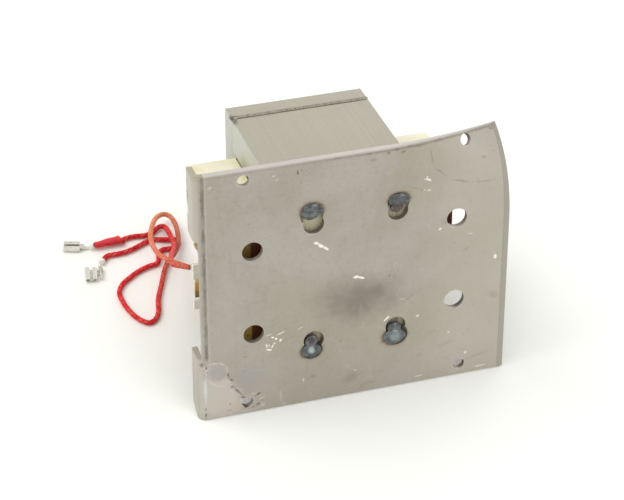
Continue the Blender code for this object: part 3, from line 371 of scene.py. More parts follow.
def plate_paint():
    paint = Paint("plate_steel", 0.44, 0.35, attribute="flat_place")
    x, y, z = paint.x, paint.y, paint.z
    step, spot, strip, times, tint = paint.step, paint.spot, paint.strip, paint.times, paint.tint
    noise, maths = paint.noise, paint.maths
    front = step(y, 0.0020, 0.0012)
    cloud = noise(24, 5, 0.6)
    fine = noise(430, 3)
    paint.ground(cloud, 0.32, 0.68, (176, 170, 161), (165, 158, 146))
    paint.fleck((17, 2, 0.5, paint.stretched((1, 1, 1), (3, 1, 7))), 0.50, 0.72, (164, 160, 139), 0.5)
    tint(step(fine, 0.45, 0.8), (138, 131, 119), 0.22)
    tint(step(paint.grain((1500, 1, 60), 4, 0.65), 0.5, 0.8), (192, 187, 176), 0.18)
    low = step(z, -0.015, -0.045)
    tint(step(x, 0.05, 0.0), (162, 156, 141), 0.35, low)
    tint(step(x, 0.02, 0.07), (190, 184, 170), 0.50)
    mottle = noise(150, 4, 0.7)
    tint(step(mottle, 0.56, 0.72), (196, 191, 182), 0.22)
    tint(step(mottle, 0.42, 0.28), (140, 133, 122), 0.30)

    # The smudge in the middle, its edge drawn out in rays by noise that runs round its centre
    smudge = (0.003, -0.0140)
    radius = paint.away(smudge, (0.0245, 0.0150), math.radians(-6))
    length = maths("MAXIMUM", paint.away(smudge, (1.0, 1.0)), 0.0004)
    rays = paint.node(
        "CombineXYZ", maths("DIVIDE", maths("SUBTRACT", x, smudge[0]), length),
        maths("DIVIDE", maths("SUBTRACT", z, smudge[1]), length), maths("MULTIPLY", length, 22),
    )
    streaks = noise(1.7, 3, 0.6, rays.outputs[0])
    ragged = maths("MULTIPLY_ADD", maths("SUBTRACT", streaks, 0.5), 0.95, radius)
    ragged = maths("MULTIPLY_ADD", paint.wander(110), 1.1, ragged)
    tint(step(ragged, 1.35, 0.0), (126, 119, 109), 0.82, front)
    tint(spot((0.0134, -0.0124), (0.006, 0.005), 0.9, 0, 0.9), (118, 110, 100), 0.4, front)

    field = spot((-0.0750, -0.0590), (0.0150, 0.0225), 0.55, 0.2, 1.3, 110)
    tint(field, (199, 192, 184), 0.8, front)
    pink = spot((-0.0700, -0.0660), (0.0180, 0.0095), 0.8, 0, 0.9, 140)
    tint(pink, (198, 184, 175), 0.7, front)
    cool = maths("MAXIMUM", spot((-0.0741, -0.0450), (0.0056, 0.0060), 0.45, 0, 0.9, 260),
                 spot((-0.0560, -0.0510), (0.0150, 0.0120), 0.8, 0, 1.1, 130))
    tint(cool, (164, 159, 154), 0.75, front)
    tint(spot((-0.0807, -0.0540), (0.0016, 0.0110), 0.7, 0, 1.2, 500), (206, 208, 209), 0.8, front)

    for centre, radii, _, _ in PLUG_WELDS.values():
        halo = spot(centre, (radii[0] + 0.0048, radii[1] + 0.0046), 0.75, 0, 0.5, 250)
        tint(halo, (160, 146, 118), 0.65, front)
        ring = spot(centre, (radii[0] + 0.0019, radii[1] + 0.0018), 0.3, 0, 0.30, 400)
        tint(ring, (106, 88, 76), 0.95, front)
    scorch = paint.marks(((-18.6, 36.6, 0.7, 3.4, 8, 0.8), (-19.6, -34.4, 1.1, 4.2, -8, 0.9),
                          (24.9, -33.8, 1.2, 4.0, -12, 0.9), (17.2, 40.2, 0.8, 3.0, 10, 0.8)), 0.6, 0.4, 500)
    tint(scorch, (112, 88, 70), 0.85, front)

    # Painted shade along the fold, broken into darker spots by noise, a thin painted highlight where the fold leaves
    # the front face, and the flange's outer face painted lighter, as lit from the left
    fold_shade = times(strip(x, -0.0795, 0.0014, 0.0010, 0.0030, 260), step(z, -0.0375, -0.0345))
    tint(step(noise(130, 4), 0.3, 0.6, 0.35, 1), (118, 111, 101), 0.85, fold_shade)
    tint(strip(x, -0.0781, 0.0007, 0.0006, 0.0006), (192, 187, 178), 0.4)
    tint(step(x, -0.0812, -0.0822), (190, 186, 174), 0.6)
    rim = times(step(x, -0.0826, -0.0832), step(y, 0.0086, 0.0104))
    tint(strip(z, 0.0575, 0.0042, 0.003, 0.008, 300), (92, 88, 78), 0.8, rim)
    tint(strip(z, 0.0490, 0.0040, 0.003, 0.006, 300), (236, 234, 226), 0.8, rim)
    tint(step(mottle, 0.50, 0.60), (146, 140, 124), 0.6, rim)
    # Painted shade on the walls of the holes, inside the sheet's thickness
    hole_wall_shade = times(
        step(y, 0.0003, 0.0005), step(y, SHEET + 0.0001, SHEET - 0.0001),
        step(x, -0.0790, -0.0785), step(x, 0.0824, 0.0820),
        step(z, PLATE_TOP, PLATE_TOP - 0.0004), step(z, -0.0716, -0.0712),
    )
    tint(hole_wall_shade, (120, 112, 96), 0.75)
    for side in (1, -1):
        for up in (1, -1):
            screw = BENT_SCREW_HOLE if side == up == 1 else SCREW_HOLE
            for (across, high), size in ((MOUNT_HOLE, 0.0060), (screw, 0.0039)):
                ring = spot((side * across, up * high), (size, size), 0.12, 0, 0.10, 500)
                tint(ring, (198, 193, 183), 0.5, front)
    tint(paint.marks(FAINT_LINES, 0.9, 1.1, 240), (136, 130, 118), 0.55, front)
    tint(paint.marks(PALE_SMEARS, 0.9, 1.5, 420), (216, 211, 205), 0.62, front)
    dark = times(paint.marks(DARK_MARKS, 0.8, 1.4, 600), front)
    tint(dark, (84, 78, 70), 0.85)
    tint(paint.marks(PALE_MARKS, 0.55, 1.0, 700), (246, 243, 235), 1.0, front)
    specks = paint.node("TexVoronoi", Vector=paint.place, Scale=330).outputs["Distance"]
    rare = step(noise(60, 2), 0.58, 0.66)
    tint(step(specks, 0.17, 0.10), (120, 112, 100), 0.5, rare)

    # Painted light: the plate's top face lighter, as lit from above; over the flange's top end it turns darker olive
    top = step(z, PLATE_TOP, PLATE_TOP + 0.0004)
    tint(step(x, -0.0800, -0.0780), (204, 199, 193), 0.7, top)
    tint(step(x, -0.0780, -0.0800), (166, 162, 140), 0.8, top)
    # Painted shade in a ragged band just below the top edge, where the edge rolls back, stronger to the right
    under = strip(z, 0.0704, 0.0010, 0.0009, 0.0018, 400)
    tint(under, (128, 120, 110), 0.6, step(x, -0.03, 0.02, 0.3, 1))
    # Painted shade on the rounded right edge, darkest in a thin line where the rounding starts
    tint(step(x, 0.0803, 0.0810), (158, 153, 140), 0.75)
    tint(strip(x, 0.0804, 0.0005, 0.0004, 0.0004), (132, 127, 115), 0.5)
    rough = maths("MULTIPLY_ADD", cloud, 0.22, 0.34)
    paint.roughness(maths("MULTIPLY_ADD", dark, 0.2, rough))
    scuffs = paint.grain((900, 1, 500), 3, 0.6, turn=(0, 0.6, 0))
    paint.bump(maths("MULTIPLY_ADD", scuffs, 0.5, fine), 0.00010, 0.35)
    paint.finish()


def lamination_paint():
    paint = Paint("lamination_steel", 0.5, 0.25)
    sheets = paint.grain((2050, 9, 9), 2, 0.6)
    paint.ground(sheets, 0.3, 0.75, (178, 172, 158), (171, 165, 151))
    paint.fleck((34, 5, 0.6), 0.42, 0.75, (178, 173, 153), 0.45)
    paint.fleck((520, 3), 0.5, 0.8, (140, 132, 117), 0.22)
    side = paint.step(paint.x, -0.0376, -0.0379)
    paint.tint(side, (191, 194, 184), 0.85)
    # Painted shade, olive, on the side face below its top and towards the plate
    low = paint.times(side, paint.step(paint.z, 0.0410, 0.0310), paint.step(paint.y, 0.0800, 0.0700))
    paint.tint(low, (146, 144, 106), 0.6)
    # Painted shade, dark red-brown, on the front part of the side face below the window's top, in the shadow of the
    # plate and coil
    front_side_shade = paint.times(side, paint.step(paint.y, 0.0440, 0.0340), paint.step(paint.z, 0.0310, 0.0290))
    paint.tint(front_side_shade, (70, 38, 28), 0.85)
    front = paint.step(paint.y, 0.0050, 0.0036)
    paint.tint(front, (194, 186, 158), 0.8)
    paint.tint(paint.step(paint.grain((500, 40, 40), 3, 0.6), 0.5, 0.6), (124, 112, 84), 0.6, front)
    scratch = paint.strip(paint.y, 0.0925, 0.0004, 0.0003, 0.0006, 200)
    paint.tint(scratch, (150, 144, 130), 0.5, paint.step(paint.x, -0.008, -0.012))
    top = paint.step(paint.z, 0.0470, 0.0476)
    # Painted shadow: a broad soft dark band along the seam weld on the top
    seam_shadow = paint.strip(paint.y, 0.0957, 0.0021, 0.0018, 0.0012, 160)
    paint.tint(seam_shadow, (120, 112, 102), 0.62, top)
    edge = paint.times(paint.step(paint.x, -0.0345, -0.0372), paint.strip(paint.y, 0.0930, 0.0075, 0.005, 0.006, 300))
    paint.tint(edge, (104, 97, 86), 0.75, top)
    paint.fleck((75, 4, 0.65), 0.60, 0.72, (150, 122, 92), 0.35, paint.step(paint.z, 0.0, -0.02))
    paint.bump(sheets, 0.00006, 0.25)
    paint.finish()


def weld_paint():
    paint = Paint("weld_metal", 0.34, 0.6)
    cloud = paint.noise(330, 4, 0.6)
    paint.ground(cloud, 0.35, 0.65, (110, 116, 115), (80, 84, 86))
    paint.fleck((700, 3), 0.60, 0.70, (160, 168, 168), 0.4)
    paint.fleck((190, 3), 0.60, 0.72, (74, 60, 66), 0.4)
    # Patches that lighten or darken the welds; the bright one on the lower left weld is a painted highlight
    for centre, radii, soft, ragged, colour, share in (
        ((0.0216, -0.0405), (0.0042, 0.0044), 0.7, 0.4, (150, 162, 162), 0.6),
        ((0.0217, 0.0400), (0.0060, 0.0050), 0.4, 0.4, (76, 80, 82), 0.45),
        ((-0.0240, -0.0400), (0.0026, 0.0030), 0.8, 0.6, (186, 198, 196), 0.75),
        ((-0.0236, -0.0345), (0.0030, 0.0026), 0.6, 0.4, (84, 66, 74), 0.8),
        ((0.0217, 0.0368), (0.0034, 0.0034), 0.5, 0.3, (92, 72, 66), 0.8),
    ):
        paint.tint(paint.spot(centre, radii, soft, 0, ragged, 400), colour, share)
    paint.tint(paint.step(paint.y, 0.0, 0.0016), (72, 58, 50), 0.8)
    paint.roughness(paint.step(cloud, 0.3, 0.7, 0.22, 0.42))
    paint.bump(cloud, 0.00012, 0.6)
    paint.finish()


def seam_paint():
    paint = Paint("seam_metal", 0.42, 0.45)
    ripple = paint.grain((700, 120, 120), 3, 0.6)
    paint.ground(ripple, 0.35, 0.65, (158, 150, 137), (120, 111, 100))
    # Painted shadow on the back half of the bead and painted light on its front half
    paint.tint(paint.step(paint.y, 0.0955, 0.0961), (96, 88, 80), 0.75)
    paint.tint(paint.step(paint.y, 0.0950, 0.0944), (176, 168, 154), 0.5)
    paint.fleck((380, 3), 0.4, 0.6, (84, 80, 80), 0.8, paint.step(paint.x, -0.0355, -0.0372))
    paint.bump(ripple, 0.00012, 0.5)
    paint.finish()


def winding_paint():
    paint = Paint("varnished_wire", 0.38, 0.15)
    cloud = paint.noise(140, 4, 0.6)
    paint.ground(cloud, 0.3, 0.7, (150, 46, 26), (88, 24, 15))
    paint.fleck((900, 2), 0.55, 0.7, (168, 76, 44), 0.35)
    paint.fleck((46, 4), 0.56, 0.70, (60, 34, 20), 0.6)
    paint.bump(cloud, 0.0001, 0.2)
    paint.finish(Coat_Weight=0.15, Coat_Roughness=0.25)


def paper_paint():
    paint = Paint("insulation_paper", 0.62, 0.0)
    fibres = paint.grain((260, 900, 260), 4, 0.7)
    cloud = paint.noise(60, 4, 0.6)
    paint.ground(cloud, 0.3, 0.7, (237, 233, 211), (229, 221, 189))
    paint.tint(paint.step(fibres, 0.52, 0.75), (208, 198, 158), 0.4)
    paint.fleck((48, 4, 0.6, paint.stretched((1, 1, 1), (0.4, 0.2, 0.1))), 0.54, 0.66, (198, 184, 116), 0.45)
    near_core = paint.step(paint.maths("ABSOLUTE", paint.x), 0.0440, 0.0385)
    paint.fleck((210, 3), 0.35, 0.6, (206, 194, 108), 0.55, near_core)
    paint.fleck((180, 3), 0.4, 0.6, (200, 192, 126), 0.5, paint.step(paint.x, -0.0600, -0.0640))
    paint.bump(paint.maths("ADD", fibres, cloud), 0.00015, 0.3)
    paint.finish(Sheen_Weight=0.15)


def guard_paint():
    paint = Paint("varnished_guard", 0.35, 0.0)
    cloud = paint.noise(75, 5, 0.65)
    paint.ground(cloud, 0.3, 0.7, (142, 114, 60), (114, 88, 46))
    paint.tint(paint.step(paint.z, -0.008, -0.016), (190, 160, 84), 0.7)
    grain = paint.grain((900, 900, 60), 3, 0.6)
    paint.tint(paint.step(grain, 0.5, 0.75), (150, 124, 64), 0.5)
    paint.fleck((240, 3), 0.60, 0.72, (66, 46, 26), 0.6)
    paint.tint(paint.step(paint.x, -0.0535, -0.0525), (84, 30, 20), 0.9)
    paint.bump(grain, 0.0001, 0.3)
    paint.finish(Coat_Weight=0.5, Coat_Roughness=0.18)


def board_paint():
    """A board that is cream at its top, amber in the middle and olive at its foot."""
    paint = Paint("varnished_board", 0.40, 0.0)
    height = paint.maths("MULTIPLY_ADD", paint.wander(500), 0.004, paint.z)
    share = paint.maths("DIVIDE", paint.maths("SUBTRACT", height, -0.0236), 0.0121)
    paint.base = paint.ramp(share, (
        (0.0, (132, 112, 60)), (0.30, (150, 124, 66)), (0.45, (206, 160, 84)),
        (0.72, (222, 180, 104)), (0.86, (238, 224, 184)), (1.0, (244, 238, 214)),
    ))
    paint.fleck((900, 3), 0.55, 0.75, (176, 132, 66), 0.4)
    paint.bump(paint.noise(600, 3), 0.0001, 0.3)
    paint.finish(Coat_Weight=0.4, Coat_Roughness=0.2)


def post_paint(name, mark=None, radii=None, mark_colour=None, foot=None):
    """White plastic, with a small mark and a foot of another colour where they are given."""
    paint = Paint(name, 0.42, 0.0)
    cloud = paint.noise(260, 4, 0.6)
    paint.ground(cloud, 0.3, 0.7, (240, 240, 232), (228, 227, 215))
    if foot:
        level, colour = foot
        height = paint.maths("MULTIPLY_ADD", paint.wander(400), 0.002, paint.z)
        paint.tint(paint.step(height, level, level - 0.001), colour, 0.7)
    if mark:
        paint.tint(paint.spot(mark, radii, 0.5, 0, 0.4, 800), mark_colour, 0.8)
    paint.fleck((420, 4), 0.62, 0.72, (190, 184, 166), 0.35)
    paint.bump(cloud, 0.0001, 0.25)
    paint.finish(Coat_Weight=0.15)


def sleeve_paint():
    """Woven glass sleeving, tan with varnish."""
    paint = Paint("tan_sleeve", 0.7, 0.0)
    one = paint.grain((1500, 4200, 1500), 1, 0.5, turn=(0.7, 0, 0.7))
    two = paint.grain((1500, 4200, 1500), 1, 0.5, turn=(-0.7, 0, -0.7))
    weave = paint.maths("MAXIMUM", one, two)
    paint.ground(weave, 0.45, 0.65, (172, 142, 98), (214, 192, 150))
    paint.fleck((170, 4), 0.52, 0.68, (150, 112, 66), 0.5)
    paint.bump(weave, 0.0003, 0.6)
    paint.finish(Coat_Weight=0.2)


def tin_paint(name, light, dark):
    paint = Paint(name, 0.26, 0.6, leaning=False)
    cloud = paint.noise(420, 4, 0.6)
    paint.ground(cloud, 0.3, 0.7, light, dark)
    paint.fleck((900, 3), 0.60, 0.75, (120, 112, 100), 0.5)
    paint.roughness(paint.step(cloud, 0.3, 0.7, 0.18, 0.38))
    paint.bump(paint.noise(500, 3), 0.00008, 0.3)
    paint.finish()


def lead_paint(name, first, second, ramp):
    """Braid whose colour changes along its length. The UV's u names the yarn and v is metres along the lead."""
    paint = Paint(name, 0.62, 0.0, leaning=False)
    uv = paint.node("UVMap")
    uv.uv_map = "UVMap"
    yarn, along, _ = paint.node("SeparateXYZ", uv.outputs[0]).outputs
    share = paint.maths("DIVIDE", along, second)
    drift = paint.maths("MULTIPLY_ADD", paint.wander(90), first, share)
    paint.base = paint.ramp(drift, ramp)
    pick = paint.node("TexWhiteNoise")
    pick.noise_dimensions = "1D"
    paint.feed(pick.inputs["W"], paint.maths("ROUND", yarn))
    tracer = paint.step(pick.outputs["Value"], 0.70, 0.74)
    worn = paint.step(paint.noise(420, 3), 0.40, 0.62, 0.35, 1)
    paint.tint(paint.times(tracer, worn), (240, 160, 140), 0.30)
    flecks = paint.noise(1100, 2)
    paint.tint(paint.step(flecks, 0.53, 0.64), (116, 20, 18), 0.55)
    paint.tint(paint.step(flecks, 0.44, 0.36), (250, 140, 130), 0.22)
    paint.fleck((150, 4, 0.65), 0.60, 0.72, (90, 30, 22), 0.25)
    paint.bump(paint.grain((6000, 6000, 6000), 2, 0.6), 0.00006, 0.5)
    paint.finish(Specular_IOR_Level=0.3)


def jacket_paint():
    paint = Paint("red_jacket", 0.42, 0.0, leaning=False)
    cloud = paint.noise(240, 4, 0.6)
    paint.ground(cloud, 0.3, 0.7, (226, 36, 46), (190, 14, 28))
    weave = paint.grain((1300, 3800, 1300), 2, 0.6)
    paint.tint(paint.step(weave, 0.55, 0.75), (244, 112, 112), 0.45)
    paint.bump(weave, 0.0002, 0.5)
    paint.finish(Coat_Weight=0.2)


def plain_paint(name, light, dark, roughness):
    paint = Paint(name, roughness)
    cloud = paint.noise(300, 4, 0.6)
    paint.ground(cloud, 0.35, 0.65, light, dark)
    paint.bump(cloud, 0.0001, 0.3)
    paint.finish()


def make_paints():
    orange = ((0.0, (216, 104, 76)), (0.10, (220, 112, 80)), (0.30, (228, 146, 100)), (0.38, (190, 100, 72)),
              (0.46, (208, 80, 62)), (0.54, (214, 24, 36)), (0.80, (222, 20, 38)), (1.0, (206, 14, 30)))
    red = ((0.0, (214, 50, 48)), (0.20, (230, 76, 76)), (0.40, (228, 56, 62)), (0.55, (216, 22, 36)),
           (1.0, (208, 14, 30)))
    plate_paint()
    lamination_paint()
    weld_paint()
    seam_paint()
    winding_paint()
    paper_paint()
    guard_paint()
    board_paint()
    sleeve_paint()
    jacket_paint()
    plain_paint("grey_paper", (196, 196, 182), (180, 180, 166), 0.7)
    post_paint("white_plastic")
    post_paint("upper_post", (-0.0790, -0.0085), (0.0009, 0.0009), (70, 60, 48), (-0.0100, (232, 222, 184)))
    post_paint("lower_post", (-0.0785, -0.0265), (0.0022, 0.0014), (150, 148, 142))
    tin_paint("tinned_brass", (236, 234, 227), (206, 202, 192))
    lead_paint("faded_lead", 0.05, 0.327, orange)
    lead_paint("red_lead", 0.06, 0.120, red)


# Nodes whose paint isn't named like their slot
NODE_PAINTS = {
    "seam_weld_top": "seam_metal",
    "seam_weld_bottom": "seam_metal",
    "primary_end_guard": "varnished_guard",
    "window_packing_upper": "grey_paper",
    "window_packing_lower": "grey_paper",
    "terminal_post_upper": "upper_post",
    "terminal_post_lower": "lower_post",
    "lead_jacket": "red_jacket",
}


def slot_of(node):
    return next(part["material_slot"] for part in frame["record"]["subparts"] if part["node"] == node)


def add_piece(name, mesh, node, slot=None):
    """Adds a visible piece, which takes the place of one of the model's nodes."""
    slot = slot or slot_of(node)
    piece = link(name, mesh)
    mesh.materials.append(PAINTS[NODE_PAINTS.get(node, slot)])
    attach(piece, "root")
    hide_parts(node)
    return piece


def mesh_from(name, shape, smooth=True, outward=True):
    if outward:
        bmesh.ops.recalc_face_normals(shape, faces=shape.faces)
    for face in shape.faces:
        face.smooth = smooth
    mesh = bpy.data.meshes.new(name)
    shape.to_mesh(mesh)
    shape.free()
    return mesh


def leaned(shape):
    """Turns a shape from the plate's frame into the world."""
    bmesh.ops.transform(shape, matrix=PLATE_FRAME, verts=shape.verts)
    return shape


def angles(count):
    return [math.tau * corner / count for corner in range(count)]


def skin(shape, rings, closed=False):
    """Faces between each ring and the next, and over both ends unless the rings close on themselves."""
    faces = []
    for ring, following in zip(rings, rings[1:] + rings[:1] if closed else rings[1:]):
        for corner, point in enumerate(ring):
            after = (corner + 1) % len(ring)
            faces.append(shape.faces.new((point, following[corner], following[after], ring[after])))
    if not closed:
        shape.faces.new(rings[0])
        shape.faces.new(rings[-1][::-1])
    return faces


def softened_mesh(node, width):
    """A node's mesh with its sharp edges rounded, in world axes."""
    source = frame["nodes"][node]
    shape = bmesh.new()
    shape.from_mesh(source.data)
    bmesh.ops.transform(shape, matrix=source.matrix_world, verts=shape.verts)
    bmesh.ops.remove_doubles(shape, verts=shape.verts, dist=0.000004)
    bmesh.ops.dissolve_limit(shape, angle_limit=math.radians(0.6), verts=shape.verts, edges=shape.edges)
    holder = link(node + "_holder", mesh_from(node + "_soft", shape, outward=False))
    bevel = holder.modifiers.new("bevel", "BEVEL")
    bevel.width = width
    bevel.segments = 2
    bevel.limit_method = "ANGLE"
    bevel.angle_limit = math.radians(38)
    holder.modifiers.new("normals", "WEIGHTED_NORMAL").keep_sharp = True
    graph = bpy.context.evaluated_depsgraph_get()
    made = bpy.data.meshes.new_from_object(holder.evaluated_get(graph), depsgraph=graph)
    bpy.data.objects.remove(holder)
    made.materials.clear()
    return made


def soften(node, width):
    return add_piece(node + "_dressed", softened_mesh(node, width), node)


def add_guard():
    """The end guard, its front leaf a little wider than in the model, as seen through the lower mounting hole."""
    mesh = softened_mesh("primary_end_guard", 0.0002)
    for vertex in mesh.vertices:
        if vertex.co.x > GUARD_LEAF_EDGE:
            vertex.co.x += GUARD_LEAF_GROWTH
    add_piece("end_guard", mesh, "primary_end_guard")


def flat_place(point):
    """Where a point of the plate lay before its corner was knocked back, in the plate's frame."""
    place = PLATE_FRAME.inverted() @ point
    s = place.dot(BEND_WAY)
    if s <= BEND_START or place.y > BEND_RADIUS * 0.5 or place.x < 0:
        return place
    arm = math.hypot(s - BEND_START, BEND_RADIUS - place.y)
    angle = math.atan2(s - BEND_START, BEND_RADIUS - place.y)
    flat = BEND_START + BEND_RADIUS * angle
    place = place + BEND_WAY * (flat - s)
    place.y = BEND_RADIUS - arm
    return place


def add_plate():
    plate = soften("mounting_plate", 0.00032)
    places = plate.data.attributes.new("flat_place", "FLOAT_VECTOR", "POINT")
    for vertex, place in zip(plate.data.vertices, places.data):
        place.vector = flat_place(vertex.co)


def add_sheets(name, outline, node, seed):
    """A stack of thin sheets, each a little out of line with the next."""
    dice = random.Random(seed)
    shape = bmesh.new()
    middle_y = sum(y for y, _ in outline) / len(outline)
    inset = 0.00008
    for sheet in range(round(STACK_SIDE * 2 / SHEET_PITCH)):
        left = -STACK_SIDE + SHEET_PITCH * sheet + 0.00001
        slip_y = dice.uniform(-0.00005, 0.00005)
        slip_z = dice.uniform(-0.000018, 0.000018)
        places = [
            (y + slip_y + (inset if y < middle_y else -inset), z + slip_z + (inset if z < 0 else -inset))
            for y, z in outline
        ]
        skin(shape, [[shape.verts.new((x, *place)) for place in places] for x in (left, left + SHEET_PITCH - 0.000025)])
    add_piece(name, mesh_from(name, leaned(shape), False), node)


def add_core():
    foot = -CORE_TOP + JOINT_CHAMFER
    low_side = [
        (CORE_FRONT, -CORE_TOP), (LEG_END - 0.0015, -CORE_TOP), (LEG_END, foot), (LEG_END, -WINDOW_TOP),
        (WINDOW_FRONT, -WINDOW_TOP), (WINDOW_FRONT, -HALF_LEG), (LEG_END, -HALF_LEG),
    ]
    low_bar = [(LEG_END - 0.00008, foot), (BAR_FRONT + 0.0015, -CORE_TOP), (CORE_BACK, -CORE_TOP)]
    for letter, half, seed in (("e", low_side, 11), ("i", low_bar, 23)):
        outline = half + [(y, -z) for y, z in reversed(half)]
        add_sheets(f"core_{letter}_sheets", outline, f"core_{letter}_stack", seed)


def blob(shape, centre, radii, seed, rough, detail=4):
    """A lump of weld metal with an uneven skin, in the plate's frame."""
    dice = random.Random(seed)
    waves = [
        (Vector((dice.uniform(-1, 1), dice.uniform(-1, 1), dice.uniform(-1, 1))).normalized() * dice.uniform(2, 7),
         dice.uniform(0, 6.3), dice.uniform(0.3, 1.0)) for _ in range(9)
    ]
    for vertex in bmesh.ops.create_icosphere(shape, subdivisions=detail, radius=1)["verts"]:
        push = sum(size * math.sin(way.dot(vertex.co) + phase) for way, phase, size in waves) / 4
        vertex.co = Vector(centre) + vertex.co * (1 + rough * push) * Vector(radii)


def add_plug_welds():
    for seed, (name, ((x, z), (wide, high), stub, stub_radii)) in enumerate(PLUG_WELDS.items()):
        shape = bmesh.new()
        blob(shape, (x, 0.0004, z), (wide, 0.0019, high), 40 + seed, 0.10)
        blob(shape, (stub[0], 0.0009, stub[1]), (stub_radii[0], 0.0017, stub_radii[1]), 60 + seed, 0.14)
        dice = random.Random(80 + seed)
        for _ in range(7):
            angle = dice.uniform(0, math.tau)
            reach = dice.uniform(0.2, 0.75)
            size = dice.uniform(0.0006, 0.0015)
            place = (x + wide * reach * math.cos(angle), -0.0009, z + high * reach * math.sin(angle))
            blob(shape, place, (size, size * 0.5, size), 90 + seed, 0.2, 2)
        node = "plug_weld_" + name
        add_piece(node + "_metal", mesh_from(node, leaned(shape)), node)


def add_seams():
    """The welds along the joint, rippled, with a messy start on the left."""
    for up, name in ((1, "seam_weld_top"), (-1, "seam_weld_bottom")):
        dice = random.Random(7 if up > 0 else 8)
        shape = bmesh.new()
        rings = []
        for index in range(SEAM_RINGS + 1):
            share = index / SEAM_RINGS
            pulse = 0.5 + 0.5 * math.cos(math.tau * share * 26 + 0.6 * math.sin(share * 31))
            swell = 0.84 + 0.13 * pulse + dice.uniform(-0.03, 0.03)
            sway = 0.00012 * math.sin(share * 19) + 0.00006 * math.sin(share * 53)
            rings.append([
                shape.verts.new((
                    SEAM_START + SEAM_LENGTH * share + 0.00016 * math.cos(angle) * pulse,
                    JOINT + sway + 0.00120 * swell * math.cos(angle),
                    up * (CORE_TOP - 0.00010 + 0.00072 * swell * math.sin(angle)),
                )) for angle in angles(12)
            ])
        skin(shape, rings)
        for x, y, z, size in (
            (-0.0370, 0.0952, 0.0480, 0.0016), (-0.0362, 0.0940, 0.0482, 0.0011), (-0.0374, 0.0963, 0.0476, 0.0012),
            (-0.0350, 0.0958, 0.0482, 0.0010), (-0.0366, 0.0929, 0.0481, 0.0008), (-0.0352, 0.0944, 0.0481, 0.0008),
            (-0.0340, 0.0949, 0.0481, 0.0008), (-0.0372, 0.0938, 0.0478, 0.0008), (0.0372, 0.0954, 0.0478, 0.0011),
        ):
            blob(shape, (x, y, up * z), (size, size * 1.15, size * 0.6), round(x * 1e5), 0.25, 3)
        add_piece(name + "_metal", mesh_from(name, leaned(shape)), name)


def rounded(left, right, half_height, radius, drop=0.0):
    """Points round a coil in X and Z. Its right end is lower by the drop."""
    points = []
    for quarter, (side, up) in enumerate(((1, 1), (-1, 1), (-1, -1), (1, -1))):
        reach = right if side > 0 else left
        high = half_height - drop if side > 0 else half_height
        for step in range(6):
            angle = math.radians(90) * (quarter + step / 5)
            points.append(Vector((side * (reach - radius) + radius * math.cos(angle),
                                  up * (high - radius) + radius * math.sin(angle))))
    return points


def add_loop(shape, outline, y, radius):
    """A closed loop of round wire."""
    rings = []
    for before, point, after in zip(outline[-1:] + outline, outline, outline[1:] + outline[:1]):
        along = (after - before).normalized()
        out = Vector((along.y, -along.x))
        rings.append([
            shape.verts.new((point.x + out.x * radius * math.cos(turn), y + radius * math.sin(turn),
                             point.y + out.y * radius * math.cos(turn))) for turn in angles(6)
        ])
    skin(shape, rings, True)


def add_primary_turns():
    """The primary's outer layer of wire, turn by turn."""
    radius = 0.00058
    dice = random.Random(31)
    front, back, left, right = PRIMARY
    shape = bmesh.new()
    turns = 25
    for turn in range(turns):
        y = front + 0.0004 + radius + (back - front - 0.0004 - radius * 2) * turn / (turns - 1)
        out = radius + dice.uniform(0, 0.00016)
        outline = rounded(left - out, right - out, COIL_TOP - out, 0.0046, RIGHT_END_DROP)
        add_loop(shape, outline, y, radius)
    add_piece("primary_turns", mesh_from("primary_turns", leaned(shape)), "primary_wrap", "varnished_wire")


def add_coils():
    """The coils' bodies, with turns of wire showing on their front and back."""
    for kind, (front, back, left, right), loops, radius in (
        ("primary", PRIMARY, 14, 0.00055), ("secondary", SECONDARY, 20, 0.00038),
    ):
        dice = random.Random(len(kind))
        inner = rounded(0.0406, 0.0406, 0.0185, 0.0020)
        outer = rounded(left - 0.0010, right - 0.0010, COIL_TOP - 0.0010, 0.0042, RIGHT_END_DROP)
        shape = bmesh.new()
        rows = []
        for near, far in zip(inner, outer):
            section = ((near, front + radius), (far, front + radius), (far, back - radius), (near, back - radius))
            rows.append([shape.verts.new((place.x, y, place.y)) for place, y in section])
        skin(shape, rows, True)
        for loop in range(loops):
            outline = [near.lerp(far, (loop + 0.5) / loops) for near, far in zip(inner, outer)]
            for y, inward in ((front, 1), (back, -1)):
                add_loop(shape, outline, y + inward * (radius + dice.uniform(0, 0.00018)), radius)
        node = kind + "_winding"
        add_piece(node + "_wires", mesh_from(node, leaned(shape)), node)


def smooth_route(points, spacing):
    """Points at an even spacing along the smooth curve through the given ones."""
    padded = [points[0] * 2 - points[1], *points, points[-1] * 2 - points[-2]]
    fine = [points[0]]
    for before, start, end, after in zip(padded, padded[1:], padded[2:], padded[3:]):
        for part in range(1, 13):
            t = part / 12
            fine.append(
                ((2 * start) + (end - before) * t + (2 * before - 5 * start + 4 * end - after) * t**2
                 + (3 * start - before - 3 * end + after) * t**3) / 2
            )
    lengths = [0.0]
    for start, end in zip(fine, fine[1:]):
        lengths.append(lengths[-1] + (end - start).length)
    count = max(2, round(lengths[-1] / spacing))
    route = []
    index = 0
    for part in range(count + 1):
        wanted = lengths[-1] * part / count
        while index < len(fine) - 2 and lengths[index + 1] < wanted:
            index += 1
        share = (wanted - lengths[index]) / (lengths[index + 1] - lengths[index])
        route.append(fine[index].lerp(fine[index + 1], share))
    return route


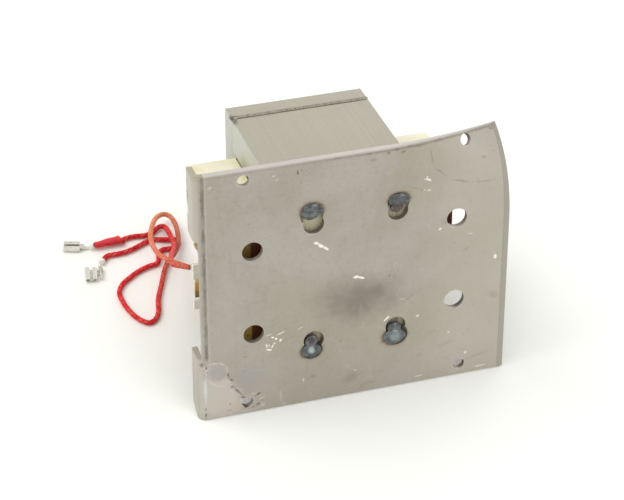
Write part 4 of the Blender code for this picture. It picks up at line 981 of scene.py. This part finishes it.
def frames_along(route):
    """For each point: itself, the way on, two directions across, and the metres so far."""
    frames = []
    side = None
    along = 0.0
    for index, point in enumerate(route):
        before = route[max(index - 1, 0)]
        after = route[min(index + 1, len(route) - 1)]
        heading = (after - before).normalized()
        if side is None:
            side = heading.cross(Vector((0, 0, 1))).normalized()
        side = (side - heading * side.dot(heading)).normalized()
        along += (point - before).length
        frames.append((point, heading, side, heading.cross(side), along))
    return frames


def lay_uv(face, uv, number, frames, index):
    """Writes a yarn's number and the metres along the lead into a face."""
    for loop, at in zip(face.loops, (index, index + 1, index + 1, index)):
        loop[uv].uv = (number, frames[at][4])


def add_tube(shape, uv, frames, radius, sides):
    """The lead's inside, under its braid."""
    rings = [
        [shape.verts.new(point + (side * math.cos(turn) + up * math.sin(turn)) * radius) for turn in angles(sides)]
        for point, _, side, up, _ in frames
    ]
    for number, face in enumerate(skin(shape, rings)):
        lay_uv(face, uv, 99.0, frames, number // sides)


def add_yarn(shape, uv, frames, number, way, start):
    """One flat yarn of the braid, which goes over and under the others."""
    rows = []
    for point, heading, side, up, along in frames:
        turns = math.tau * along / YARN_PITCH
        turn = start + way * turns
        out = side * math.cos(turn) + up * math.sin(turn)
        round_way = up * math.cos(turn) - side * math.sin(turn)
        lift = YARN_LIFT * way * math.cos(6 * turns + start * 3)
        slope = math.tau * YARN_RADIUS / YARN_PITCH * way
        across = (round_way - heading * slope).normalized() * (YARN_WIDTH / 2)
        middle = point + out * (YARN_RADIUS + lift)
        edge = middle - out * YARN_CROWN
        rows.append([shape.verts.new(place) for place in (edge - across, middle, edge + across)])
    for index, (row, following) in enumerate(zip(rows, rows[1:])):
        for corner in range(2):
            face = shape.faces.new((row[corner], following[corner], following[corner + 1], row[corner + 1]))
            lay_uv(face, uv, number, frames, index)


def add_leads():
    for letter, shift, points, ends in (
        ("a", Vector((0, 0, 0)), LEAD_ROUTE_A, ["lead_ferrule_a", "lead_terminal_a_dressed"]),
        ("b", SECOND_SLEEVE_SHIFT, LEAD_ROUTE_B, ["lead_jacket_cover", "lead_ferrule_b", "lead_terminal_b_dressed"]),
    ):
        start = PLATE_FRAME @ (SLEEVE_END + shift + SLEEVE_WAY * 0.0006)
        route = smooth_route([start, *(Vector((x, y, FLOOR + z)) for x, y, z in points[1:])], LEAD_SPACING)
        frames = frames_along(route)
        shape = bmesh.new()
        uv = shape.loops.layers.uv.new("UVMap")
        add_tube(shape, uv, frames, 0.00130, 10)
        for yarn in range(6):
            for way in (1, -1):
                turn = math.tau * (yarn + (0.25 if way > 0 else 0)) / 6
                add_yarn(shape, uv, frames, yarn * 2 + (way > 0), way, turn)
        mesh = mesh_from("lead_" + letter, shape, outward=False)
        lead = add_piece("lead_" + letter, mesh, "filament_lead_" + letter)


def add_jacket():
    """A loose jacket over lead B, cut at a slant at its wide end."""
    start = Vector((-0.0921, 0.1204, FLOOR + 0.0029))
    end = Vector((-0.1076, 0.1196, FLOOR + 0.0026))
    way = (end - start).normalized()
    side = way.cross(Vector((0, 0, 1))).normalized()
    up = side.cross(way)
    dice = random.Random(5)
    waves = [(dice.uniform(200, 900), dice.uniform(1, 3), dice.uniform(0, 6.3)) for _ in range(5)]
    mouth = [(0.030, 0.0016), (0.0, 0.0021)]
    body = [(part / 26, 0.0026 - 0.0008 * (part / 26) ** 0.8) for part in range(27)]
    rings = []
    shape = bmesh.new()
    for share, radius in mouth + body + [(1.0, 0.0013), (0.97, 0.0012)]:
        ring = []
        for angle in angles(24):
            along = (end - start).length * share + 0.0013 * math.cos(angle - 0.8) * (1 - share) ** 6
            uneven = sum(math.sin(scale * along + turns * angle + phase) for scale, turns, phase in waves) * 0.00007
            away = side * math.cos(angle) * 1.04 + up * math.sin(angle) * 0.94
            ring.append(shape.verts.new(start + way * along + away * (radius + uneven)))
        rings.append(ring)
    skin(shape, rings)
    add_piece("lead_jacket_cover", mesh_from("lead_jacket_cover", shape), "lead_jacket")


def dress_nodes():
    """Rounds the sharp edges of the smaller parts."""
    for width, nodes in (
        (0.0004, ("secondary_wrap",)),
        (0.00015, ("top_paper_left", "top_paper_right")),
        (0.00025, ("terminal_board",)),
        (0.0004, ("terminal_post_upper", "terminal_post_lower")),
        (0.0005, ("hv_terminal_block",)),
        (0.0002, ("shunt_upper", "shunt_lower", "window_packing_upper", "window_packing_lower")),
        (0.00012, ("hv_tab", "ground_tab", "primary_tab_upper", "primary_tab_lower")),
    ):
        for node in nodes:
            soften(node, width)


def paint_nodes():
    for name, node in frame["nodes"].items():
        node.data.materials.clear()
        node.data.materials.append(PAINTS[NODE_PAINTS.get(name, slot_of(name))])


def add_floor():
    mesh = bpy.data.meshes.new("floor")
    corners = [(side * FLOOR_REACH, back * FLOOR_REACH, 0) for side, back in ((-1, -1), (1, -1), (1, 1), (-1, 1))]
    mesh.from_pydata(corners, [], [(0, 1, 2, 3)])
    floor = link("floor", mesh)
    floor.location.z = FLOOR
    paint = Paint("floor", 0.8, 0, False)
    paint.base = paint.mix(paint.noise(3, 2), linear((252, 253, 250)), linear((249, 251, 247)))
    paint.finish()
    mesh.materials.append(PAINTS["floor"])


def add_lamp(name, place, size, power, colour=(1.0, 1.0, 1.0)):
    """A round soft lamp that faces the object."""
    data = bpy.data.lights.new(name, "AREA")
    data.shape = "DISK"
    data.size = size
    data.energy = power
    data.color = colour
    lamp = link(name, data)
    lamp.location = place
    lamp.rotation_euler = (-Vector(place)).to_track_quat("-Z", "Y").to_euler()


def add_light():
    world = bpy.data.worlds.new("studio")
    world.use_nodes = True
    backdrop = world.node_tree.nodes["Background"].inputs
    backdrop["Color"].default_value = (1.0, 1.0, 0.985, 1.0)
    backdrop["Strength"].default_value = 0.82
    bpy.context.scene.world = world
    add_lamp("key_light", (-0.9, 0.5, 1.3), 1.1, 10, (1.0, 0.99, 0.97))
    add_lamp("fill_light", (0.8, -1.0, 0.9), 1.0, 3.5)
    add_lamp("back_light", (0.9, 1.1, 0.5), 1.2, 3.1)
    bpy.context.scene.view_settings.view_transform = "Standard"


add_camera()
make_paints()
add_jacket()
soften("lead_terminal_a", 0.00010)
soften("lead_terminal_b", 0.00010)
add_leads()
paint_nodes()
add_plate()
add_core()
add_plug_welds()
add_seams()
add_coils()
add_primary_turns()
add_guard()
dress_nodes()
add_floor()
add_light()
